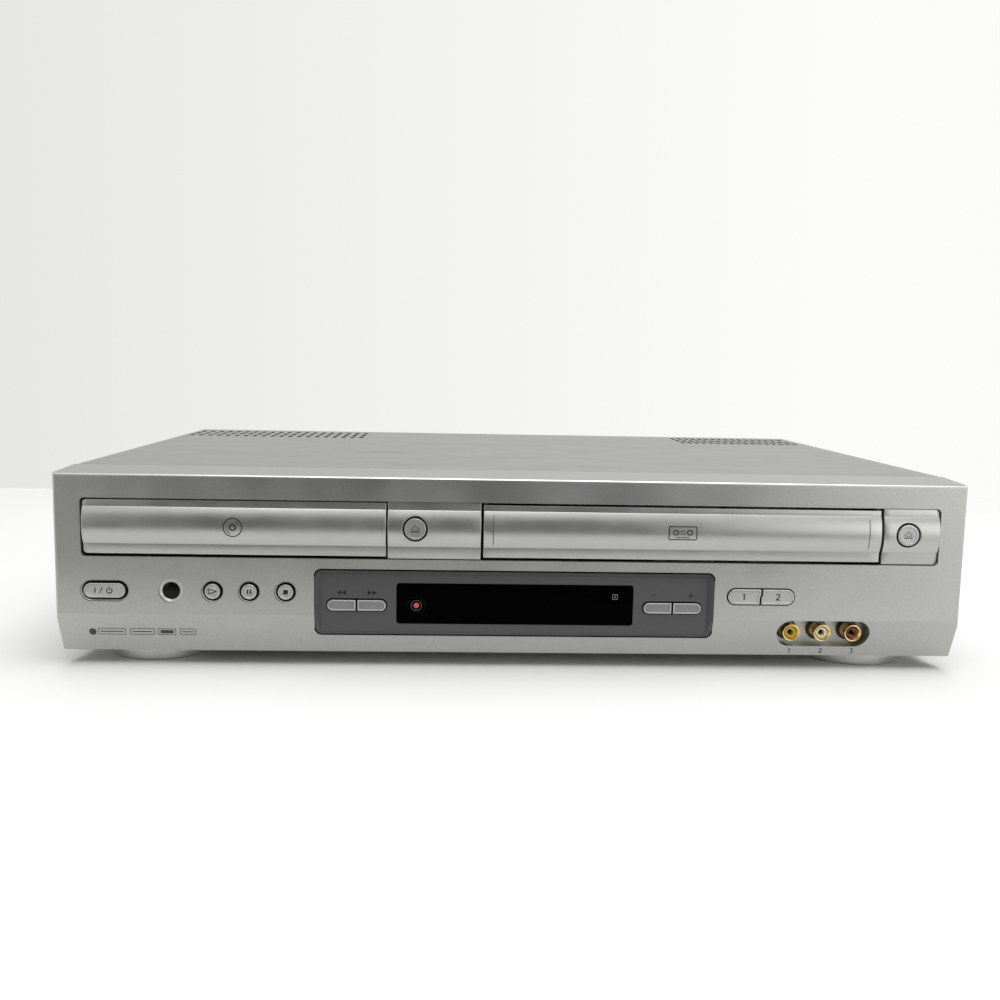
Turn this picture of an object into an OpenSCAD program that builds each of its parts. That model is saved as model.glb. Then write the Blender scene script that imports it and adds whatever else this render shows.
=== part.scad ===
/* [Case] */
// Width across the front moulding
case_w = 430; // [410:1:450]
// Depth from the front face to the rear panel
case_d = 281; // [278:1:320]
// Height of the front face, from its lower edge to its top edge
front_h = 84.8; // [84:0.1:95]
// Air between the table and the lower edge of the front
foot_gap = 7; // [5:0.5:12]
// How far the top surface rises from the front edge to the cover
top_rise = 2.3; // [1:0.1:4]
// Depth of the front moulding
fascia_d = 19.4; // [19:0.1:22]
// How much each side of the front moulding draws in towards the cover
side_taper = 4; // [2:0.5:6]
// Wall of the front moulding
wall = 2.4; // [2:0.1:2.6]
// Thickness of the sheet metal of the cover and rear panel
sheet_t = 0.8; // [0.6:0.1:1.2]
// Height of the lower part of the front that leans back
lean_h = 18.7; // [18:0.1:22]
// How far the lower part of the front leans back at the bottom
lean_d = 5.8; // [4:0.1:6]
// Radius of the corners of the front as seen from the front
corner_r = 2.5; // [1:0.1:4]
// Radius of the long edges of the front
edge_r = 1.2; // [0.5:0.1:2]
// Gap between fixed parts that meet edge to edge
seam = 0.3; // [0.2:0.05:0.4]

/* [Band with tray and doors] */
// Depth of the upper edge of the band below the top edge of the front
band_drop = 11.3; // [11:0.1:14]
// Height of the band
band_h = 27.5; // [27.5:0.1:30]
// Distance from the end of the band to the side of the front
band_margin = 12.2; // [10:0.1:16]
// Radius of the corners of the band
band_r = 2; // [1:0.1:3]
// Width of the fixed panel beside the disc tray
disc_panel_w = 43.8; // [42:0.1:46]
// Width of the cassette door
door_w = 190; // [190:0.5:192]
// Width of the fixed panel beside the cassette door
tape_panel_w = 27.1; // [25:0.1:30]
// Gap at each side of the disc tray
tray_gap = 0.8; // [0.5:0.1:1]
// Gap at each side of the cassette door
door_gap = 1.2; // [0.8:0.1:1.5]
// Gap above the moving fronts
lid_gap = 0.8; // [0.5:0.1:1.2]
// Gap below the moving fronts
sill_gap = 1.2; // [1:0.1:1.5]
// How far the flat edge strips of the band lie behind the front face
strip_in = 1.2; // [0.8:0.1:1.5]
// How far the bulge of the band stands out from its edge strips
bulge_out = 2.4; // [1.5:0.1:3]
// Height of the bulge of the band
bulge_h = 17.6; // [16:0.1:19]
// Depth of the upper edge of the bulge below the top of the band
bulge_drop = 3.9; // [3:0.1:5]
// Thickness of the fixed panels in the band at their edge strips
panel_t = 2; // [1.5:0.1:2.5]
// Thickness of the front of the tray and of the cassette door
lid_t = 3; // [2.5:0.1:3]

/* [Buttons] */
// Travel of every button
press = 0.8; // [0.5:0.1:1]
// Clearance around a button cap
cap_gap = 0.6; // [0.3:0.05:0.7]
// How far the caps of the lower row stand out from the front
row_proud = 0.9; // [0:0.1:1.2]
// Radius of the round play, pause and stop caps
small_cap_r = 3.6; // [3:0.1:4.5]
// Radius of the round eject caps
eject_cap_r = 5.1; // [4.5:0.1:6]
// Width of the power cap
power_w = 19.2; // [16:0.1:21]
// Height of the power cap
power_h = 6.9; // [6:0.1:9]
// Width of the pair of selector caps
select_w = 32; // [30:0.1:36]
// Height of the selector caps
select_h = 7.3; // [7:0.1:9]
// Width of the pairs of caps on the display panel
pair_w = 27.8; // [26:0.1:32]
// Height of the pairs of caps on the display panel
pair_h = 5.2; // [4.5:0.1:6.5]
// Gap between the two caps of a pair
pair_gap = 0.8; // [0.6:0.1:1.2]
// Radius of the record cap
record_r = 3.8; // [3:0.1:4.2]
// Radius of the dark lens of the remote receiver
lens_r = 3.85; // [3:0.05:4.5]
// Depth of the row of small buttons below the top edge
row_drop = 54.8; // [53:0.1:56]
// Distance of the power button from the side of the front
power_in = 22.8; // [21:0.1:25]
// Distance of the remote lens from the side of the front
lens_in = 53.3; // [51:0.1:55]
// Distance of the play button from the side of the front
play_in = 72.6; // [71:0.1:75]
// Spacing of play, pause and stop
row_pitch = 17; // [15:0.1:17.5]
// Distance of the selector pair from the side of the front
select_in = 97.4; // [95:0.1:98]
// Distance of the disc eject button from the left end of its panel
disc_eject_in = 12.9; // [12:0.1:30]
// Distance of the tape eject button from the left end of its panel
tape_eject_in = 11.7; // [11:0.1:15]

/* [Display panel] */
// Distance from the end of the display panel to the side of the front
display_margin = 120.2; // [119:0.1:122]
// Height of the dark display panel
display_h = 31.6; // [31:0.1:32]
// Depth of the display panel below the top edge
display_drop = 44; // [44:0.1:45]
// How far the plate of the display panel lies behind the front face
display_in = 3; // [2.9:0.1:3.5]
// Width of the bevel around the plate
bevel_w = 2.6; // [1.5:0.1:3.5]
// Distance between the black window and the caps at each side of it
window_margin = 5; // [3:0.1:6]
// Height of the black window
window_h = 19.4; // [18:0.1:20]
// Depth of the black window below the top edge
window_drop = 50.7; // [50.5:0.1:51.5]
// Radius of the corners of the display panel
display_r = 3; // [2:0.1:4]
// Distance of the record button from the end of the window
record_in = 9.4; // [8:0.1:12]
// Depth of the record button below the top edge
record_drop = 61.3; // [61:0.1:61.8]
// Distance of the middle of each pair of caps from the end of the display panel
pair_in = 19.4; // [18:0.1:21]
// Depth of the pairs of caps below the top edge
pair_drop = 61.35; // [60:0.05:63]

/* [Sockets] */
// Distance of the middle front socket from the side of the front
socket_in = 65.4; // [63:0.1:68]
// Spacing of the sockets
socket_pitch = 15.2; // [14:0.1:16]
// Depth of the front sockets below the top edge
socket_drop = 73.2; // [73:0.1:74]
// Width of the recess around the front sockets
recess_w = 45.6; // [45:0.1:50]
// Height of the recess around the front sockets
recess_h = 13.4; // [12.4:0.1:13.4]
// Outer radius of a socket shell
shell_r = 4.15; // [4:0.05:4.2]
// Wall of a socket shell
shell_t = 0.7; // [0.5:0.05:0.9]
// Radius of the hole for the centre pin of a plug
pin_hole_r = 1.6; // [1.5:0.05:1.8]
// How far the rear sockets stand out
rear_reach = 9; // [7:0.5:11]

/* [Feet] */
// Radius of the front feet
foot_r = 26; // [20:0.5:28]
// Distance of the middle of each foot from the side of the front
foot_in = 40; // [35:1:55]
// Radius of the neck that holds each front foot to the base
foot_neck_r = 15; // [10:0.5:16]
// Distance of the front feet behind the front face
foot_y = 38; // [36:1:60]
// Radius of the rear feet
rear_foot_r = 9; // [7:0.5:12]
// Distance of the rear feet from the rear panel
rear_foot_in = 26; // [20:1:40]

/* [Vents] */
// Number of slots across the left vent field
vent_left_n = 20; // [10:1:20]
// Number of slots across the right vent field
vent_right_n = 17; // [10:1:18]
// Number of rows in each vent field
vent_rows = 3; // [1:1:3]
// Width of one slot
vent_slot_w = 2.6; // [1.5:0.1:3]
// Length of one slot
vent_slot_l = 13; // [8:0.5:14]
// Spacing of the slots across the left field
vent_left_pitch = 5.9; // [5:0.1:6]
// Spacing of the slots across the right field
vent_right_pitch = 4.8; // [4:0.1:5]
// Spacing of the rows
vent_row_pitch = 17.5; // [16:0.5:19]
// Distance of the rearmost row from the rear edge of the cover
vent_in = 13; // [11:0.5:20]

/* [Disc loader] */
// Distance of the side of the disc tray from the end of its front
tray_in = 5.2; // [5:0.1:6]
// Length of the disc tray
tray_l = 178; // [174:0.5:182]
// Length of the disc tray that stays in its rails when it is out
tray_hold = 20; // [20:1:40]
// Thickness of the disc tray
tray_t = 6.5; // [5.5:0.1:7]
// Depth of the upper face of the disc tray below the top edge
tray_drop = 29; // [28.5:0.1:29.5]
// Rim of the disc tray beside the recess for a disc
tray_rim = 4.5; // [4:0.1:5]
// Running gap beside a sliding part
slide_gap = 0.3; // [0.2:0.05:0.4]
// Radial clearance of a shaft in its bearing
bearing_gap = 0.05; // [0.02:0.01:0.08]
// Tooth module of the tray drive
gear_module = 1; // [0.8:0.1:1.1]
// Number of teeth of the tray pinion
pinion_teeth = 16; // [14:1:18]
// Travel of the laser sled
sled_travel = 35; // [25:1:35]

/* [Tape deck] */
// Width of a cassette
cassette_w = 188; // [188:0.5:189]
// Depth of a cassette
cassette_d = 104; // [102:0.5:105]
// Height of a cassette
cassette_h = 25; // [24.5:0.1:25]
// How far the cassette basket travels back
basket_in = 30; // [20:1:30]
// How far the cassette basket travels down
basket_down = 20; // [15:0.5:20]
// Radius of the head drum
drum_r = 31; // [28:0.5:32]
// Height of the lower drum above the deck
drum_lift = 8.4; // [8:0.1:10]
// Radius of the reel tables
reel_r = 21; // [15:0.5:22]
// Distance of each reel from the middle of the cassette
reel_x = 46; // [44:0.5:47]
// Radius of the circle that each loading post travels on
arm_l = 42; // [38:0.5:42]
// Radius of the capstan flywheel
flywheel_r = 22; // [16:0.5:24]
// Radius of the pinch roller
pinch_r = 6.5; // [5.5:0.1:7]

/* [Hidden] */
$fn = 64;

// Feet
foot_x = case_w / 2 - foot_in;

// Heights, from the table
top_z = foot_gap + front_h;
case_h = top_z + top_rise;
base_lift = 2;
base_z = foot_gap + base_lift;
base_t = 1;
floor_z = base_z + base_t;
break_z = foot_gap + lean_h;
cut = 1;

// The model's origin is under the middle of its box
front_reach = bulge_out - strip_in;
shift_y = (front_reach - case_d - rear_reach) / 2;

// Cover and base
cover_w = case_w - 2 * side_taper;
cover_y = fascia_d + seam;
inner_w = cover_w - 2 * sheet_t;
vent_left_in = 5;
vent_right_in = 8;
vent_left_x = -cover_w / 2 + vent_left_in;
vent_right_x = cover_w / 2 - vent_right_in - vent_slot_w - (vent_right_n - 1) * vent_right_pitch;
base_w = inner_w - 2 * seam;
flange_h = 15;

// Band: four pieces from left to right
band_x0 = -case_w / 2 + band_margin;
band_x1 = case_w / 2 - band_margin;
band_z1 = top_z - band_drop;
band_z0 = band_z1 - band_h;
band_gaps = 2 * tray_gap + 2 * door_gap + seam;
tray_front_w = band_x1 - band_x0 - band_gaps - disc_panel_w - door_w - tape_panel_w;
tray_w = tray_front_w - 2 * tray_in;
disc_d = tray_w - 2 * tray_rim;
tray_x0 = band_x0 + tray_gap;
tray_x1 = tray_x0 + tray_front_w;
tray_cx = (tray_x0 + tray_x1) / 2;
disc_panel_x0 = tray_x1 + tray_gap;
disc_panel_x1 = disc_panel_x0 + disc_panel_w;
door_x0 = disc_panel_x1 + door_gap;
door_x1 = door_x0 + door_w;
bay_cx = (door_x0 + door_x1) / 2;
tape_panel_x0 = door_x1 + door_gap;
tape_panel_x1 = band_x1 - seam;
bulge_z1 = band_z1 - bulge_drop;
bulge_z0 = bulge_z1 - bulge_h;
bulge_r = (bulge_h * bulge_h / 4 + bulge_out * bulge_out) / (2 * bulge_out);
ledge_y = strip_in + panel_t;
ledge_t = 2;
ledge_rim = 2.6;
lid_back = strip_in + lid_t;

// Buttons and the board behind them
board_y = fascia_d;
board_t = 1.6;
switch_d = 4;
switch_w = 6;
stem_end = board_y - switch_d - press - seam;
stem_r = 1.3;
flange_t = 1;
flange_out = 1.2;
rim_r_out = 0.8;
lens_rim = 1.4;
rim_depth = 0.6;
row_z = top_z - row_drop;
power_x = -case_w / 2 + power_in;
lens_x = -case_w / 2 + lens_in;
play_x = -case_w / 2 + play_in;
select_x = case_w / 2 - select_in;
eject_z = (bulge_z0 + bulge_z1) / 2;
disc_eject_x = disc_panel_x0 + disc_eject_in;
tape_eject_x = tape_panel_x0 + tape_eject_in;

// Display panel
display_x = case_w / 2 - display_margin;
pair_x = display_x - pair_in;
pair_z = top_z - pair_drop;
pair_proud = 1.4;
window_w = 2 * (pair_x - pair_w / 2 - window_margin);
record_x = -window_w / 2 + record_in;
record_z = top_z - record_drop;
record_proud = 0.6;
plate_t = 2;
plate_back = display_in + plate_t;
plate_rim = 1;
display_z1 = top_z - display_drop;
display_z0 = display_z1 - display_h;
window_z1 = top_z - window_drop;
window_z0 = window_z1 - window_h;
window_r = 1.5;
window_proud = 0.2;

// Bosses that carry the control board
boss_r = 2.5;
boss_drop = 9;
boss_in = 10;
boss_gap = 7;
boss_x = [-case_w / 2 + boss_in, -display_x - boss_gap, display_x + boss_gap, case_w / 2 - boss_in];

// Sockets
socket_x = case_w / 2 - socket_in;
socket_z = top_z - socket_drop;
recess_back = 13;
recess_wall = 1.6;
shell_front = 3.6;
insert_front = 1.2;
shell_bore = shell_r - shell_t;
shell_gap = 0.1;
shell_step = 0.25;
rear_shell_r = shell_r - shell_step;
block_y = recess_back + recess_wall;
shell_short = 1.5;
shell_back = board_y - shell_short;
insert_solid = 1.5;
rear_y = case_d - sheet_t;
tuner_in = 65;
tuner_x = case_w / 2 - tuner_in;
tuner_lift = 20;
tuner_z = floor_z + tuner_lift;
tuner_w = 62;
tuner_h = 44;
tuner_d = 24;
aerial_r = 4.7;
aerial_t = 1;
rear_sockets_in = 174;
rear_sockets_x = tuner_x - rear_sockets_in;
rear_sockets_lift = 34;
rear_sockets_z = floor_z + rear_sockets_lift;
rear_row = 16;
rear_block_d = 12;
rear_block_rim = 8;
rear_block_back = 1;
rear_shell_y0 = rear_y - rear_block_d + rear_block_back;
inlet_in = 47;
inlet_x = -case_w / 2 + inlet_in;
inlet_lift = 26;
inlet_z = floor_z + inlet_lift;
inlet_w = 22;
inlet_h = 14;
inlet_d = 16;
inlet_pin_r = 3.9;
inlet_flange = 2;
inlet_floor = 2;

// Disc loader
tray_top = top_z - tray_drop;
tray_z = tray_top - tray_t;
tray_y0 = lid_back;
disc_in = 11;
disc_y = tray_y0 + disc_in + disc_d / 2;
disc_deep = 2;
pocket_deep = 3.2;
hub_slot_r = 17;
rail_t = 2;
rail_gap = 3;
rail_y0 = board_y + board_t + rail_gap;
rail_tail = 6;
rail_y1 = tray_y0 + tray_l + rail_tail;
rail_lip = 3;
tray_travel = tray_y0 + tray_l - rail_y0 - tray_hold;
loader_deep = 16;
loader_z = tray_z - loader_deep;
loader_t = 2;
loader_x = tray_w / 2 + slide_gap + rail_t;
rail_rise = 3.2;
rail_top = tray_top + rail_rise;
leg_r = 4;
leg_in = 5.3;
pinion_r = gear_module * pinion_teeth / 2;
pinion_in = 13;
pinion_x = tray_cx - tray_w / 2 + pinion_in;
pinion_back = 7;
pinion_y = rail_y0 + pinion_back;
rack_x = pinion_x + pinion_r;
rack_z = band_z0 + lid_gap;
rack_bar = 3;
rack_in = 4;
groove_deep = 3;
groove_z = tray_z + groove_deep;
groove_gap = 0.6;
groove_x0 = pinion_x - pinion_r - gear_module - groove_gap;
stud_r = 2;
stud_foot = 2;
gear_slack = 0.28;
tooth_pitch = PI * gear_module;
pressure = 20;
rod_r = 1.5;
rod_x = 20;
rod_lift = 8;
rod_z = loader_z + loader_t + rod_lift;
rod_behind = 15;
rod_y0 = disc_y + rod_behind;
holder_t = 4;
holder_rim = 4;
sled_w = 52;
sled_l = 28;
sled_gap = 1;
sled_y = rod_y0 + holder_t + sled_gap;
rod_y1 = sled_y + sled_l + sled_travel + sled_gap + holder_t;
sled_deep = 4;
sled_z = rod_z - sled_deep;
sled_h = 7;
objective_in = 10;
objective_y = sled_y + objective_in;
objective_rim_r = 6;
objective_r = 3;
objective_gap = 2;
objective_deep = 0.8;
objective_top = tray_top - disc_deep - objective_gap;
motor_r = 12;
motor_h = 10;
platter_r = 14;
hub_r = 7.4;
hub_h = 2.4;
platter_deep = 0.4;
platter_z = tray_top - disc_deep - platter_deep;
platter_t = 3.6;
bridge_w = 30;
bridge_t = 2;
puck_r = 12.6;
puck_neck_r = 9;
puck_hole_r = 10;

// Tape deck, measured from the middle of the bay
deck_lift = 14;
deck_z = floor_z + deck_lift;
deck_t = 1.6;
deck_top = deck_z + deck_t;
deck_side_gap = 7;
deck_w = cassette_w + 2 * deck_side_gap;
side_t = 1.5;
basket_y0 = lid_back + band_h + 2;
deck_front_gap = 3.7;
deck_y0 = basket_y0 - deck_front_gap;
cassette_rear = basket_y0 + cassette_d + basket_in;
basket_gap = 0.8;
basket_t = 1.2;
basket_z = band_z0 - seam;
basket_ledge = 14;
basket_room = 2.4;
basket_lid_z = basket_z + cassette_h + basket_room;
basket_short = 8;
basket_l = cassette_d - basket_short;
lid_in = 16;
lid_end_in = 20;
plate_gap = 1;
carriage_x = cassette_w / 2 + basket_gap + basket_t + plate_gap;
carriage_t = 1.2;
carriage_in = 12;
carriage_y0 = basket_y0 + carriage_in;
carriage_l = 60;
bar_gap = 1.6;
bar_in = 22;
carriage_bar_z = basket_lid_z + basket_t + bar_gap;
carriage_drop = 8;
carriage_z0 = basket_z - carriage_drop;
pin_r = 1.5;
slot_rim = 4;
pin_step = 9;
basket_pin_z = carriage_z0 + basket_down + pin_r + slot_rim;
carriage_pin_z = basket_pin_z + pin_step;
pin_inset = 10;
side_x = deck_w / 2 - side_t;
side_top = carriage_pin_z + pin_r + slot_rim;
side_behind = 32.3;
side_y1 = cassette_rear + side_behind;
drum_gap = 12;
drum_y = cassette_rear + drum_gap + drum_r;
deck_behind = 8.3;
deck_y1 = drum_y + drum_r + deck_behind;
drum_z = deck_top + drum_lift;
drum_boss_r = 14;
lower_drum_h = 11;
upper_drum_h = 12.6;
drum_split = 0.3;
shaft_r = 3;
reel_in = 58;
reel_y = cassette_rear - reel_in;
reel_lift = 1.4;
reel_z = deck_top + reel_lift;
reel_t = 4.4;
reel_hub_r = 4;
reel_hub_h = 12;
reel_stud_h = 12;
arm_pivot_x = 20;
arm_pivot_in = 5;
arm_pivot_y = drum_y - arm_pivot_in;
arm_rest = -77;
arm_swing = 100;
arm_t = 2.4;
arm_r = 4.6;
arm_lift = 0.4;
pin_out = 0.6;
arm_z = deck_top + arm_lift;
stop_l = 15;
stop_r = 1.2;
stop_turn = arm_rest + arm_swing + asin((0.8 * arm_r + stop_r + seam) / stop_l);
post_r = 3;
post_rise = 22;
post_top = drum_z + post_rise;
capstan_x = 62;
capstan_behind = 7;
capstan_y = cassette_rear + capstan_behind;
capstan_r = 2;
capstan_rise = 24;
capstan_top = drum_z + capstan_rise;
flywheel_t = 6;
flywheel_lift = 3;
flywheel_z = floor_z + flywheel_lift;
bearing_r = 5;
bearing_rise = 0.6;
bearing_drop = 3;
pinch_x = 82;
pinch_behind = 12;
pinch_y = cassette_rear + pinch_behind;
pinch_side = 2;
pinch_clear = 0.4;
pinch_seat_x = capstan_x + pinch_side;
pinch_seat_y = capstan_y - sqrt(pow(capstan_r + pinch_r + pinch_clear, 2) - pow(pinch_side, 2));
pinch_l = sqrt(pow(pinch_x - pinch_seat_x, 2) + pow(pinch_y - pinch_seat_y, 2));
pinch_swing = 25;
pinch_rest = atan2(pinch_seat_y - pinch_y, pinch_seat_x - pinch_x) + pinch_swing;
pinch_lift = 1;
pinch_z = deck_top + pinch_lift;
roller_lift = 4;
roller_z = drum_z + roller_lift;
roller_h = 14;

// Cassette door hinge, behind and above the band
hinge_y = wall + 1.8;
hinge_z = band_z1 + 1.8;
hinge_pin_r = 0.9;
knuckle_r = 1.3;
knuckle_l = 2;
hinge_pin_l = 2.8;
lug_l = 3;
lug_half = 2.6;

// Boards and fixings
board_pad_r = 3;
main_board_x = tray_cx;
main_board_gap = 13.3;
main_board_w = 2 * (loader_x - main_board_gap);
main_board_in = 20;
main_board_y = rail_y0 + main_board_in;
main_board_l = rail_y1 - main_board_in - main_board_y;
main_board_lift = 4;
main_board_z = floor_z + main_board_lift;
chip_h = 2;
power_board_in = 8;
power_x0 = -cover_w / 2 + power_board_in;
power_board_w = 130;
power_board_gap = 6;
power_board_y = rail_y1 + power_board_gap;
power_board_l = case_d - inlet_d - power_board_gap - power_board_y;
power_board_lift = 6;
power_board_z = floor_z + power_board_lift;
capacitor_h = 26;
sink_t = 2;
sink_h = 34;
sink_in = 8;
core_w = 38;
core_l = 30;
core_t = 8;
core_in = 4;
coil_w = 26;
coil_h = 20;
yoke_t = 6;
pad_in = 6;
screw_r = 1.4;
screw_head_r = 3.2;
screw_head_h = 1.8;
screw_l = 6;
screw_hole_r = 1.6;
screw_lift = 8;
screw_z = base_z + screw_lift;
screw_front_in = 42.3;
screw_rear_in = 45;
screw_side_in = 65;
screw_y = [cover_y + screw_front_in, case_d - screw_rear_in];
screw_x = [-case_w / 2 + screw_side_in, 0, case_w / 2 - screw_side_in];

// Moves a sub-part from the front-face frame into the model's frame.
module place() {
    translate([0, shift_y, 0]) children();
}

// Box between two corners.
module slab(x0, x1, y0, y1, z0, z1) {
    translate([x0, y0, z0]) cube([x1 - x0, y1 - y0, z1 - z0]);
}

// Round bar along the depth.
module rod_along_y(x, z, y0, y1, r) {
    translate([x, y0, z]) rotate([-90, 0, 0]) cylinder(h = y1 - y0, r = r);
}

// Round bar along the width.
module rod_along_x(y, z, x0, x1, r) {
    translate([x0, y, z]) rotate([0, 90, 0]) cylinder(h = x1 - x0, r = r);
}

// Upright round bar.
module post(x, y, z0, z1, r) {
    translate([x, y, z0]) cylinder(h = z1 - z0, r = r);
}

// Gives an outline drawn in width and height a depth from y0 to y1.
module plate_y(y0, y1) {
    translate([0, y1, 0]) rotate([90, 0, 0]) linear_extrude(height = y1 - y0) children();
}

// Gives an outline drawn in depth and height a width from x0 to x1.
module bar_x(x0, x1) {
    translate([x0, 0, 0]) rotate([90, 0, 90]) linear_extrude(height = x1 - x0) children();
}

// Rectangle with round corners.
module rounded_rect(x0, x1, z0, z1, r) {
    translate([x0 + r, z0]) square([x1 - x0 - 2 * r, z1 - z0]);
    translate([x0, z0 + r]) square([x1 - x0, z1 - z0 - 2 * r]);
    for (x = [x0 + r, x1 - r], z = [z0 + r, z1 - r]) translate([x, z]) circle(r = r);
}

// Pill outline around a middle point.
module pill(x, z, w, h) {
    translate([x - w / 2 + h / 2, z - h / 2]) square([w - h, h]);
    for (side = [-1, 1]) translate([x + side * (w - h) / 2, z]) circle(d = h);
}

// Round countersink of a given width around a hole, from the front face inwards.
module round_rim(x, z, r, out) {
    translate([x, -cut, z]) rotate([-90, 0, 0])
        cylinder(h = rim_depth + cut, r1 = r + out * (1 + cut / rim_depth), r2 = r);
}

// Pill-shaped countersink around a cap.
module pill_rim(x, z, w, h) {
    half = h / 2;
    wide = half + rim_r_out * (1 + cut / rim_depth);
    for (side = [-1, 1]) round_rim(x + side * (w - h) / 2, z, half, rim_r_out);
    bar_x(x - (w - h) / 2, x + (w - h) / 2)
        polygon([[-cut, z - wide], [rim_depth, z - half], [rim_depth, z + half], [-cut, z + wide]]);
}

// Side view of the front moulding, drawn in inside its outer face.
module fascia_side(inset) {
    polygon([
        [inset, break_z],
        [inset, top_z - inset],
        [fascia_d + (inset > 0 ? cut : 0), case_h - inset],
        [fascia_d + (inset > 0 ? cut : 0), foot_gap + inset],
        [lean_d + inset, foot_gap + inset]
    ]);
}

// Plan of the front moulding, drawn in inside its outer face.
module fascia_plan(inset) {
    half_front = case_w / 2 - inset;
    half_rear = cover_w / 2 - inset;
    back = fascia_d + (inset > 0 ? cut : 0);
    polygon([[-half_front, inset], [half_front, inset], [half_rear, back], [-half_rear, back]]);
}

// Space outside the rounded top edge of the front.
module edge_waste_side() {
    rise = edge_r * top_rise / fascia_d;
    difference() {
        translate([-cut, top_z - edge_r + rise]) square([edge_r + cut, edge_r + cut]);
        translate([edge_r, top_z - edge_r + rise]) circle(r = edge_r);
    }
}

// Space outside the rounded side edges of the front.
module edge_waste_plan() {
    for (side = [-1, 1]) {
        inner = case_w / 2 - edge_r;
        difference() {
            translate([side * (inner + (edge_r + cut) / 2), (edge_r - cut) / 2])
                square([edge_r + cut, edge_r + cut], center = true);
            translate([side * inner, edge_r]) circle(r = edge_r);
        }
    }
}

// Outer block of the front moulding.
module fascia_block() {
    intersection() {
        bar_x(-case_w / 2, case_w / 2) difference() {
            fascia_side(0);
            edge_waste_side();
        }
        linear_extrude(height = case_h + cut) difference() {
            fascia_plan(0);
            edge_waste_plan();
        }
        plate_y(-cut, fascia_d + cut) rounded_rect(-case_w / 2, case_w / 2, foot_gap, case_h, corner_r);
    }
}

// Lug that carries one hinge pin of the cassette door.
module hinge_lug(x0) {
    slab(x0, x0 + lug_l, wall - 0.2, hinge_y + lug_half - 0.4, band_z1 - 0.4, hinge_z + lug_half);
}

// Front moulding of the case, with its openings, ledges and bosses.
module fascia_shell() {
    difference() {
        union() {
            difference() {
                fascia_block();
                intersection() {
                    bar_x(-case_w / 2, case_w / 2) fascia_side(wall);
                    linear_extrude(height = case_h + cut) fascia_plan(wall);
                }
            }
            slab(disc_panel_x0 - tray_gap / 2, disc_panel_x1 + door_gap / 2, wall / 2, ledge_y + ledge_t,
                band_z0 - ledge_rim, band_z1 + ledge_rim);
            slab(tape_panel_x0 - door_gap / 2, tape_panel_x1 + 2, wall / 2, ledge_y + ledge_t,
                band_z0 - ledge_rim, band_z1 + ledge_rim);
            hinge_lug(door_x0 - door_gap / 2 - lug_l);
            hinge_lug(door_x1 + door_gap / 2);
            plate_y(lean_d / 2 + wall, block_y)
                pill(socket_x, socket_z, recess_w + 2 * recess_wall, recess_h + 2 * recess_wall);
            for (x = boss_x) rod_along_y(x, row_z - boss_drop, wall / 2, board_y, boss_r);
        }
        plate_y(-cut, ledge_y) rounded_rect(band_x0, band_x1, band_z0, band_z1, band_r);
        plate_y(0, board_y)
            rounded_rect(band_x0, disc_panel_x0 - tray_gap / 2, band_z0, band_z1, band_r);
        slab(disc_panel_x1 + door_gap / 2, tape_panel_x0 - door_gap / 2, 0, board_y, band_z0, band_z1);
        rod_along_y(disc_eject_x, eject_z, 0, board_y, eject_cap_r + cap_gap);
        rod_along_y(tape_eject_x, eject_z, 0, board_y, eject_cap_r + cap_gap);
        rod_along_x(hinge_y, hinge_z, door_x0 - door_gap / 2 - lug_l - cut, door_x0,
            hinge_pin_r + bearing_gap);
        rod_along_x(hinge_y, hinge_z, door_x1, door_x1 + door_gap / 2 + lug_l + cut,
            hinge_pin_r + bearing_gap);
        plate_y(-cut, board_y) rounded_rect(-display_x - seam, display_x + seam, display_z0 - seam,
            display_z1 + seam, display_r);
        plate_y(-cut, wall + cut) pill(power_x, row_z, power_w + 2 * cap_gap, power_h + 2 * cap_gap);
        pill_rim(power_x, row_z, power_w + 2 * cap_gap, power_h + 2 * cap_gap);
        plate_y(-cut, wall + cut) pill(select_x, row_z, select_w + 2 * cap_gap, select_h + 2 * cap_gap);
        for (i = [0:2]) {
            rod_along_y(play_x + i * row_pitch, row_z, -cut, wall + cut, small_cap_r + cap_gap);
            round_rim(play_x + i * row_pitch, row_z, small_cap_r + cap_gap, rim_r_out);
        }
        rod_along_y(lens_x, row_z, -cut, wall + cut, lens_r + seam);
        round_rim(lens_x, row_z, lens_r + seam, lens_rim);
        plate_y(-cut, recess_back) pill(socket_x, socket_z, recess_w, recess_h);
        for (i = [-1:1])
            rod_along_y(socket_x + i * socket_pitch, socket_z, recess_back - cut, block_y + cut,
                shell_r + shell_gap);
    }
}

module fascia() {
    color([0.66, 0.67, 0.66]) place() fascia_shell();
}

// One field of ventilation slots, counted from its outer end.
module vent_field(x_first, pitch, n) {
    for (i = [0:n - 1], j = [0:vent_rows - 1])
        translate([x_first + i * pitch, case_d - vent_in - vent_slot_l - j * vent_row_pitch, 0])
            slab(0, vent_slot_w, 0, vent_slot_l, case_h - 2 * sheet_t, case_h + sheet_t);
}

module top_cover() {
    color([0.68, 0.69, 0.67]) place() difference() {
        slab(-cover_w / 2, cover_w / 2, cover_y, case_d, base_z + base_t, case_h);
        slab(-inner_w / 2, inner_w / 2, cover_y - cut, case_d + cut, base_z - cut, case_h - sheet_t);
        vent_field(vent_left_x, vent_left_pitch, vent_left_n);
        vent_field(vent_right_x, vent_right_pitch, vent_right_n);
        for (y = screw_y) rod_along_x(y, screw_z, -case_w, case_w, screw_hole_r);
    }
}

// Round pad that lifts a board above the floor of the base.
module board_pad(x, y, z) {
    post(x, y, floor_z - base_t / 2, z, board_pad_r);
}

// The four pads under the corners of a board.
module pads_under(x0, w, y0, l, z) {
    for (x = [x0 + pad_in, x0 + w - pad_in], y = [y0 + pad_in, y0 + l - pad_in]) board_pad(x, y, z);
}

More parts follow.
